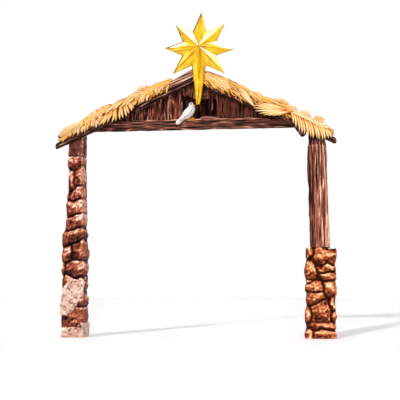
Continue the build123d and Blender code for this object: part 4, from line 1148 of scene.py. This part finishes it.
def right_thatch(lid):
    """Right slope: smooth sheaf by the star, clumps, a broad leaf and two palm fronds."""
    slope_cover(RIGHT, "right_thatch_cover", 21, 15, 16, lid, 17)

    clumps = Straw(23)
    clumps.tuft(RIGHT, *RIGHT_HEAD)
    clumps_down(clumps, RIGHT, 56, 136, 10.0, 150.0)
    for tuft in RIGHT_TUFTS:
        clumps.tuft(RIGHT, *tuft)
    clumps.made("right_thatch_clumps", [])

    edge = Straw(27)
    for row in RIGHT_LEAVES:
        leaves(edge, RIGHT, *row)
    for i in range(4):
        edge.blade(before(RIGHT, 59 + 2.5 * i, 11 - 2.4 * i, 3.6), before(RIGHT, 82 + 4 * i, 4 - 3.2 * i, 4.8),
                   FRONTWARD, 5.4, (0, -1.2, 0), 0.95)
    for s in (171.5, 175.6, 179.8):
        edge.tuft(RIGHT, 5, 0.9 + edge.between(-0.4, 0.2), 0.12, 0.2,
                  (s, 5, 1, 4, 4), (s + 0.6, 11, 1, 4.6, 4.6), (s + 0.9, 16.8, 1, 4.4, 4.4))
    edge.made("right_leaf_fringe", ["right_fringe"])

    feather = Straw(31)
    tie = before(RIGHT, *FEATHER_TIE)
    for i, (s, h) in enumerate(RIGHT_FEATHER):
        tip = roof(RIGHT, s, h, THATCH_FRONT - 4.6 - 0.25 * (i % 3))
        root = tie + 0.16 * (tip - tie)
        arch = (0, -1.4, 1.6 - 0.2 * i)
        feather.blade(root, tip, FRONTWARD, feather.between(3.4, 4.2), arch,
                      feather.near(0.75 if i % 2 else 0.15, 0.2))
        below = tip + np.array([2.0, 1.6, 0.6])
        feather.blade(root + np.array([0, 1.4, 0]), below, FRONTWARD, 5.0, arch, -0.2, shade=0.45)
    feather.made("palm_leaf_upper", ["palm_frond_upper"], PALM)

    frond = Straw(33)
    for i, s in enumerate(np.linspace(137.5, 189, FROND_LEAFLETS)):
        share = i / (FROND_LEAFLETS - 1)
        h = 8.0 - 4.0 * share
        root = before(RIGHT, s, h, 3.0)
        drop = np.interp(share, [0, 0.15, 0.4, 0.75, 1], [17, 24, 25, 21, 12])
        tip = root + np.array([frond.near(4.0 + 3.0 * share, 0.8), -1.4, -drop])
        under = tip + np.array([2.0, 1.8, 3.0])
        frond.blade(root + np.array([1.6, 1.4, -2]), under, FRONTWARD, 4.8, (1.4, -1.0, 0.8), -0.2, shade=0.4)
        frond.blade(root, tip, FRONTWARD, frond.between(3.4, 4.0), (1.4, -1.4, 0.8),
                    frond.near(0.95 if i % 2 else 0.15, 0.2))
        upper = before(RIGHT, min(s + 9, 192), h + 3.0, 3.4)
        frond.blade(root, upper, FRONTWARD, 3.2, (0, -0.8, 0.4), 0.5 if i % 2 else 1.0)
    frond.tuft(RIGHT, 5, 0.9, 0.1, 0.6, (*FEATHER_TIE, 2.6, 2.6), (166, 6.2, 4.4, 2.2, 2.2), (192, 3, 4, 1.2, 1.2))
    frond.made("palm_leaf_lower", ["palm_frond_lower"], PALM)


def back_thatch():
    """Short leaves along the back edge of both slopes."""
    straw = Straw(41)
    for side in (LEFT, RIGHT):
        for s in np.arange(28, THATCH_END, 2.4):
            root = roof(side, s, DECK_T + straw.between(1, 6), THATCH_BACK - 0.5)
            tip = roof(side, s + straw.between(1, 5), straw.between(1, 5), THATCH_BACK + straw.between(1.4, 2.8))
            straw.blade(root, tip, BACKWARD, straw.between(2.4, 3.6), (0, 0.6, 0), straw.near(0.5, 0.4))
    straw.made("back_leaf_fringe", ["back_fringe"])


def thatch():
    left_thatch(np.vstack([thatch_mass(f"left_sheaf_{number}", LEFT, 50 + number) for number in (1, 2, 3)]))
    right_thatch(np.vstack([thatch_mass(f"right_sheaf_{number}", RIGHT, 60 + number) for number in (1, 2, 3)]))
    back_thatch()


# Star

STAR_X = 9.5
STAR_Z = RIDGE_Z + 36.0
STAR_TILT = 1.3
STAR_WAIST = 24.0
STAR_HEART_UP = 2.0
WAIST_T = 3.4
TIP_T = 2.2
STAR_CUTS = 20
TAIL = 4
TAIL_TAPER = (4.0, 63.7)
TAIL_TIP = (2.2, 74.7)
# Each ray's own lean in degrees and its length, clockwise from the top ray; the tail has its own measures
STAR_RAYS = ((2.2, 49.6), (0, 46), (1.4, 46), (-0.8, 47.6), None, (0.8, 47.6), (1.2, 46), (0, 46))
# Paint of each ray's two facets, clockwise from the top ray, anticlockwise facet first; values from the pale level up
# are a near white painted highlight on facets that look up
STAR_FACET_SHADING = ((0.54, 0.60), (0.84, 0.55), (0.58, 0.52), (0.80, 0.56), (0.50, 0.62), (0.58, 0.70), (0.53, 0.58),
              (0.54, 0.92))
STAR_HIGHLIGHT_LEVEL = 0.75
# Facets whose outer rim gets painted shade, then facets whose rim gets a painted highlight, each as ray and facet
STAR_SHADED_EDGES = ((0, 0), (7, 0), (6, 1), (5, 1), (4, 1))
STAR_LIT_EDGES = ((2, 0), (6, 1))
STAR_RIDGE_LINES = (0.08, 0.10, 0.12, 0.22, 0.12, 0.26, 0.12, 0.10)
EDGE_SHARE = 0.07


def star_place(angle, radius):
    """Front-view place on the star, its angle turned clockwise from the upright ray."""
    turn = math.radians(angle + STAR_TILT)
    return (STAR_X + radius * math.sin(turn), STAR_Z + radius * math.cos(turn))


def beside_tail(half, drop):
    return star_place(math.degrees(math.atan2(half, -drop)), math.hypot(half, drop))


class Facets:
    """Gathers finely cut flat facets that share their corners, each corner with its own paint."""

    def __init__(self):
        self.points = []
        self.index = {}
        self.faces = []
        self.paint = []

    def corner(self, place):
        key = tuple(np.round(place, 4))
        if key not in self.index:
            self.index[key] = len(self.points)
            self.points.append(place)
        return self.index[key]

    def facet(self, a, b, c, paint):
        """Triangle cut finely; paint gives a value at a place and its shares of the corners."""
        grid = {}
        for i in range(STAR_CUTS + 1):
            for j in range(STAR_CUTS + 1 - i):
                shares = ((STAR_CUTS - i - j) / STAR_CUTS, i / STAR_CUTS, j / STAR_CUTS)
                place = shares[0] * a + shares[1] * b + shares[2] * c
                grid[i, j] = (self.corner(place), paint(place, shares))
        for i in range(STAR_CUTS):
            for j in range(STAR_CUTS - i):
                cells = [((i, j), (i + 1, j), (i, j + 1))]
                if i + j < STAR_CUTS - 1:
                    cells.append(((i + 1, j), (i + 1, j + 1), (i, j + 1)))
                for cell in cells:
                    self.faces.append(tuple(grid[key][0] for key in cell))
                    self.paint += [grid[key][1] for key in cell]


def gold_stroke(number, side, way, waist=None, rim=True):
    """Paint of a facet: strokes out from the heart, a line along the ridge, painted shade on darker facets and painted
    highlight on pale ones towards the heart, and some rims with painted shade and some with a painted highlight.
    """
    tone = STAR_FACET_SHADING[number][side]
    dark = rim and (number, side) in STAR_SHADED_EDGES
    lit = (number, side) in STAR_LIT_EDGES

    def paint(place, shares):
        point = place.reshape(1, 3)
        line = soft_noise(stretched(point, way, 6.0), 1.8, 3)[0]
        patch = soft_noise(point, 6.0, 4)[0]
        heart_share = shares[2]
        value = tone + (0.20 if tone < STAR_HIGHLIGHT_LEVEL else 0.08) * line + 0.07 * patch
        # Towards the heart, painted shade on the darker facets and painted highlight on the pale ones
        if tone < STAR_HIGHLIGHT_LEVEL:
            value -= 0.16 * max(0.0, heart_share - 0.3)
        else:
            value += 0.25 * min(heart_share, 0.5) - 0.04
        # Painted highlight along a lit rim
        if lit:
            value += 0.60 * max(0.0, 1 - heart_share / 0.55)
        if waist is not None and shares[waist] < EDGE_SHARE:
            value -= STAR_RIDGE_LINES[number]
        # Painted shade along a dark rim
        if dark and heart_share < EDGE_SHARE + 0.06 * patch:
            value = 0.05
        return value
    return paint


def wall_paint(place, shares):
    return 0.44 + 0.1 * soft_noise(place.reshape(1, 3), 3.0, 7)[0]


def star():
    """Star: ridged rays, a near white painted highlight on some facets, saturated with orange strokes on others."""
    low, high = corners("star_body")
    back = high[1]
    heart_t = high[1] - low[1]

    def corner(place, height):
        return np.array([place[0], back - height, place[1]])

    def behind(place):
        return np.array([place[0], back, place[2]])

    def back_paint(place, shares):
        point = place.reshape(1, 3)
        way = unit(hub - place + np.array([0.0, 0.0, 0.01]))
        line = soft_noise(stretched(point, way, 6.0), 1.8, 9)[0]
        return 0.52 + 0.18 * line + 0.10 * soft_noise(point, 6.0, 8)[0]

    heart = corner(star_place(0, STAR_HEART_UP), heart_t)
    hub = behind(heart)
    made = Facets()
    rim = []
    for number in range(8):
        first, second = (corner(star_place(45 * number + turn, STAR_WAIST), WAIST_T) for turn in (-22.5, 22.5))
        if number != TAIL:
            lean, length = STAR_RAYS[number]
            tip = corner(star_place(45 * number + lean, length), TIP_T)
            way = unit(heart - tip)
            made.facet(first, tip, heart, gold_stroke(number, 0, way, 0))
            made.facet(tip, second, heart, gold_stroke(number, 1, way, 1))
            rim += [first, tip]
            continue
        ridge = corner(star_place(180, TAIL_TAPER[1]), (heart_t + WAIST_T) / 2)
        taper = [corner(beside_tail(out * TAIL_TAPER[0], TAIL_TAPER[1]), WAIST_T) for out in (1, -1)]
        tips = [corner(beside_tail(out * TAIL_TIP[0], TAIL_TIP[1]), TIP_T) for out in (1, -1)]
        way = unit(heart - ridge)
        right = gold_stroke(TAIL, 0, way)
        left = gold_stroke(TAIL, 1, way)
        inner = gold_stroke(TAIL, 1, way, rim=False)
        for facet in ((first, taper[0], heart, right), (taper[0], ridge, heart, right), (ridge, taper[1], heart, inner),
                      (taper[1], second, heart, left), (taper[0], tips[0], ridge, right),
                      (tips[0], tips[1], ridge, right), (tips[1], taper[1], ridge, left)):
            made.facet(*facet)
        rim += [first, taper[0], tips[0], tips[1], taper[1]]
    for a, b in zip(rim, rim[1:] + rim[:1]):
        made.facet(b, a, behind(a), wall_paint)
        made.facet(b, behind(a), behind(b), wall_paint)
        made.facet(behind(b), behind(a), hub, back_paint)
    shape = (np.array(made.points), made.faces)
    star_piece = piece("star_gold", shape, GOLD, ["star_body"], None, "star", smooth=False)
    layer = star_piece.data.attributes.new("relief", "FLOAT", "CORNER")
    layer.data.foreach_set("value", np.clip(made.paint, 0, 1).astype(np.float32))


# Dove: eggs as x, z, three radii and a lean in degrees

DOVE_EGGS = ((-6.2, 297.0, (11.0, 5.5, 6.1), 47), (-3.8, 300.4, (7.0, 5.1, 5.2), 60),
             (-3.0, 304.6, (3.6, 3.5, 4.6), 0), (-2.8, 307.4, (3.6, 3.4, 3.3), 0),
             (-15.5, 288.6, (9.5, 2.8, 3.0), 42), (-19.2, 285.4, (5.4, 3.0, 3.3), 42))
BEAK_EGGS = ((1.0, 306.6, (2.0, 1.1, 1.1), -18), (2.3, 306.0, (1.3, 0.6, 0.6), -30))
WING_LEAN = math.radians(47)
TOE_INSET = 1.4


def ellipsoid(centre, radii, lean):
    """Egg-shaped closed mesh, leaning in the front view."""
    shape = bmesh.new()
    bmesh.ops.create_uvsphere(shape, u_segments=24, v_segments=16, radius=1.0)
    points = np.array([v.co for v in shape.verts]) * np.array(radii)
    order = {v: i for i, v in enumerate(shape.verts)}
    faces = [tuple(order[v] for v in f.verts) for f in shape.faces]
    shape.free()
    turn = math.radians(lean)
    x = points[:, 0] * math.cos(turn) - points[:, 2] * math.sin(turn)
    z = points[:, 0] * math.sin(turn) + points[:, 2] * math.cos(turn)
    return np.column_stack([x, points[:, 1], z]) + np.array(centre), faces


def blended(parts, voxel, rounds):
    """Several closed meshes melted into one smooth form."""
    form = remeshed(*joined(parts), voxel)
    form.points = form.smoothed(rounds)
    return form


def dove():
    """Dove: plump body, folded wings, long tail, eye, beak and feet."""
    low, high = corners("dove_body")
    y = (low[1] + high[1]) / 2
    body = blended([ellipsoid((x, y, z), radii, lean) for x, z, radii, lean in DOVE_EGGS], 0.45, 6)
    wings = []
    relief = []
    for out in (-1, 1):
        wing = blended([ellipsoid((-7.5, y + out * 5.4, 297.3), (8.6, 1.7, 3.9), 47),
                        ellipsoid((-12.5, y + out * 4.6, 291.8), (8.5, 1.4, 2.2), 44)], 0.4, 4)
        x, z = wing.points[:, 0], wing.points[:, 2]
        along = x * math.cos(WING_LEAN) + z * math.sin(WING_LEAN)
        across = z * math.cos(WING_LEAN) - x * math.sin(WING_LEAN)
        feather = np.abs(np.sin(across * 1.9 + 0.12 * along))
        tail_share = np.clip((210 - along) / 8, 0, 1)
        wing.push(0.35 * feather * tail_share)
        # Paint: the wing's inner side darker, painted shade against the body; dark lines between the feathers, painted
        # feather lines and painted shade in the grooves
        rim = np.clip((out * (wing.points[:, 1] - y) - 4.6) / 1.6, 0, 1)
        relief.append(0.22 + 0.3 * rim + 0.42 * feather * tail_share + 0.34 * (1 - tail_share))
        wings.append(wing.mesh())
    wings = joined(wings)
    piece("dove_wing_pair", wings, DOVE_WHITE, ["dove_wings"], np.concatenate(relief))
    # Painted light and shade: lighter where the body looks up and a little where it looks left, lighter on what stands
    # out, and painted shade where it meets the wings
    gap = np.array([np.linalg.norm(wings[0] - place, axis=1).min() for place in body.points])
    cheek = np.exp(-np.sum((body.points - np.array([-4.2, y - 3.4, 304.6])) ** 2, axis=1) / 3.0)
    relief = 0.86 + 0.18 * body.normals()[:, 2] - 0.06 * body.normals()[:, 0] + 0.3 * body.proudness(6)
    relief += -0.48 * bell(gap, 0, 0.9) - 0.55 * cheek
    piece("dove_white", body.mesh(), DOVE_WHITE, ["dove_body"], relief)

    eyes = blended([ellipsoid((-2.9, y + out * 3.3, 308.0), (1.2, 0.7, 1.0), 0) for out in (-1, 1)], 0.2, 1)
    piece("dove_eyes", eyes.mesh(), EYE_DARK, [], 0.5)
    beak = blended([ellipsoid((x, y, z), radii, lean) for x, z, radii, lean in BEAK_EGGS], 0.22, 2)
    piece("dove_bill", beak.mesh(), BEAK_OCHRE, ["dove_beak"], 0.5)
    toes = []
    foot_low, foot_high = corners("dove_feet")
    for x in (foot_low[0] + TOE_INSET, foot_high[0] - TOE_INSET):
        for spread in (-1.2, 0, 1.2):
            toes.append(ellipsoid((x + spread, foot_low[1] + 0.5, 288.0), (0.75, 0.8, 2.4), -18 * spread))
        toes.append(ellipsoid((x, foot_low[1] + 0.2, 290.4), (0.9, 0.9, 1.6), 0))
    feet = blended(toes, 0.28, 2)
    piece("dove_toes", feet.mesh(), BEAK_OCHRE, ["dove_feet"], 0.5)


# CAD nodes that stay

def kept_nodes():
    """Hidden pieces keep their CAD mesh and get a finish."""
    for names, finish in ((("left_pillar_core", "right_base_core"), MORTAR),
                          (("left_cap_dowel", "barge_pegs"), TIMBER),
                          (("star_pins",), STEEL)):
        for name in names:
            mesh = frame["nodes"][name].data
            mesh.materials.clear()
            mesh.materials.append(finish)


# Studio

CAMERA_PLACE = (0.1569, -1.1834, 0.0579)
CAMERA_YAW = math.radians(7.186)
CAMERA_RISE = math.radians(5.89)
CAMERA_LENS = 81.41
FLOOR_REACH = 12.0
FLOOR_GLOW = 0.36
WORLD_LIGHT = 0.36
WHITE = (1, 1, 1, 1)
KEY_FROM = (0.3, -0.5, 1.0)
LOW_FROM = (-0.24, -0.97, 0.25)


def aimed(name, data, way):
    """Camera or light that looks along a way."""
    made = placed(name, data)
    made.rotation_mode = "QUATERNION"
    made.rotation_quaternion = way.to_track_quat("-Z", "Y")
    return made


def camera():
    data = bpy.data.cameras.new("camera")
    data.lens = CAMERA_LENS
    data.sensor_width = 36.0
    data.clip_end = 50.0
    way = Vector((-math.sin(CAMERA_YAW) * math.cos(CAMERA_RISE),
                  math.cos(CAMERA_YAW) * math.cos(CAMERA_RISE), math.sin(CAMERA_RISE)))
    made = aimed("camera", data, way)
    made.location = CAMERA_PLACE
    bpy.context.scene.camera = made


def sun(name, strength, angle, come_from):
    data = bpy.data.lights.new(name, "SUN")
    data.energy = strength
    data.angle = math.radians(angle)
    return aimed(name, data, -Vector(come_from))


def linked_to(light, name, thing):
    """Tie a light to one thing by a collection, and give the tie."""
    tie = bpy.data.collections.new(name)
    tie.objects.link(thing)
    light.light_linking.receiver_collection = tie
    return tie.collection_objects[0].light_linking


def white_world():
    """White light all round, and a full white for the camera."""
    world = bpy.data.worlds.new("white")
    world.use_nodes = True
    tree = Nodes(world.node_tree)
    around = tree.add("Background", {"Color": WHITE, "Strength": WORLD_LIGHT})
    backdrop = tree.add("Background", {"Color": WHITE, "Strength": 1.0})
    seen = tree.add("LightPath", {}, "Is Camera Ray")
    either = tree.add("MixShader", {0: seen, 1: around, 2: backdrop})
    tree.feed(tree.nodes["World Output"].inputs["Surface"], either)
    bpy.context.scene.world = world


def studio():
    """White floor that glows a little, soft light from above, a low light from the front left and its floor streaks."""
    reach = FLOOR_REACH
    mesh = new_mesh("floor", [(-reach, -reach, 0), (reach, -reach, 0), (reach, reach, 0), (-reach, reach, 0)],
                    [(0, 1, 2, 3)])
    floor = placed("floor", mesh)
    finish = Finish("floor", 0.9)
    finish.set("Base Color", (0.95, 0.95, 0.95, 1))
    finish.set("Emission Color", WHITE)
    finish.set("Emission Strength", FLOOR_GLOW)
    mesh.materials.append(finish.material)
    white_world()
    linked_to(sun("key", 2.1, 30, KEY_FROM), "unlit_by_key", floor).link_state = "EXCLUDE"
    sun("low_front", 1.7, 5, LOW_FROM)
    linked_to(sun("floor_streak", 3.1, 2.5, LOW_FROM), "lit_by_streak", floor)
    bpy.context.scene.view_settings.view_transform = "Standard"


stonework()
timberwork()
thatch()
star()
dove()
kept_nodes()
camera()
studio()
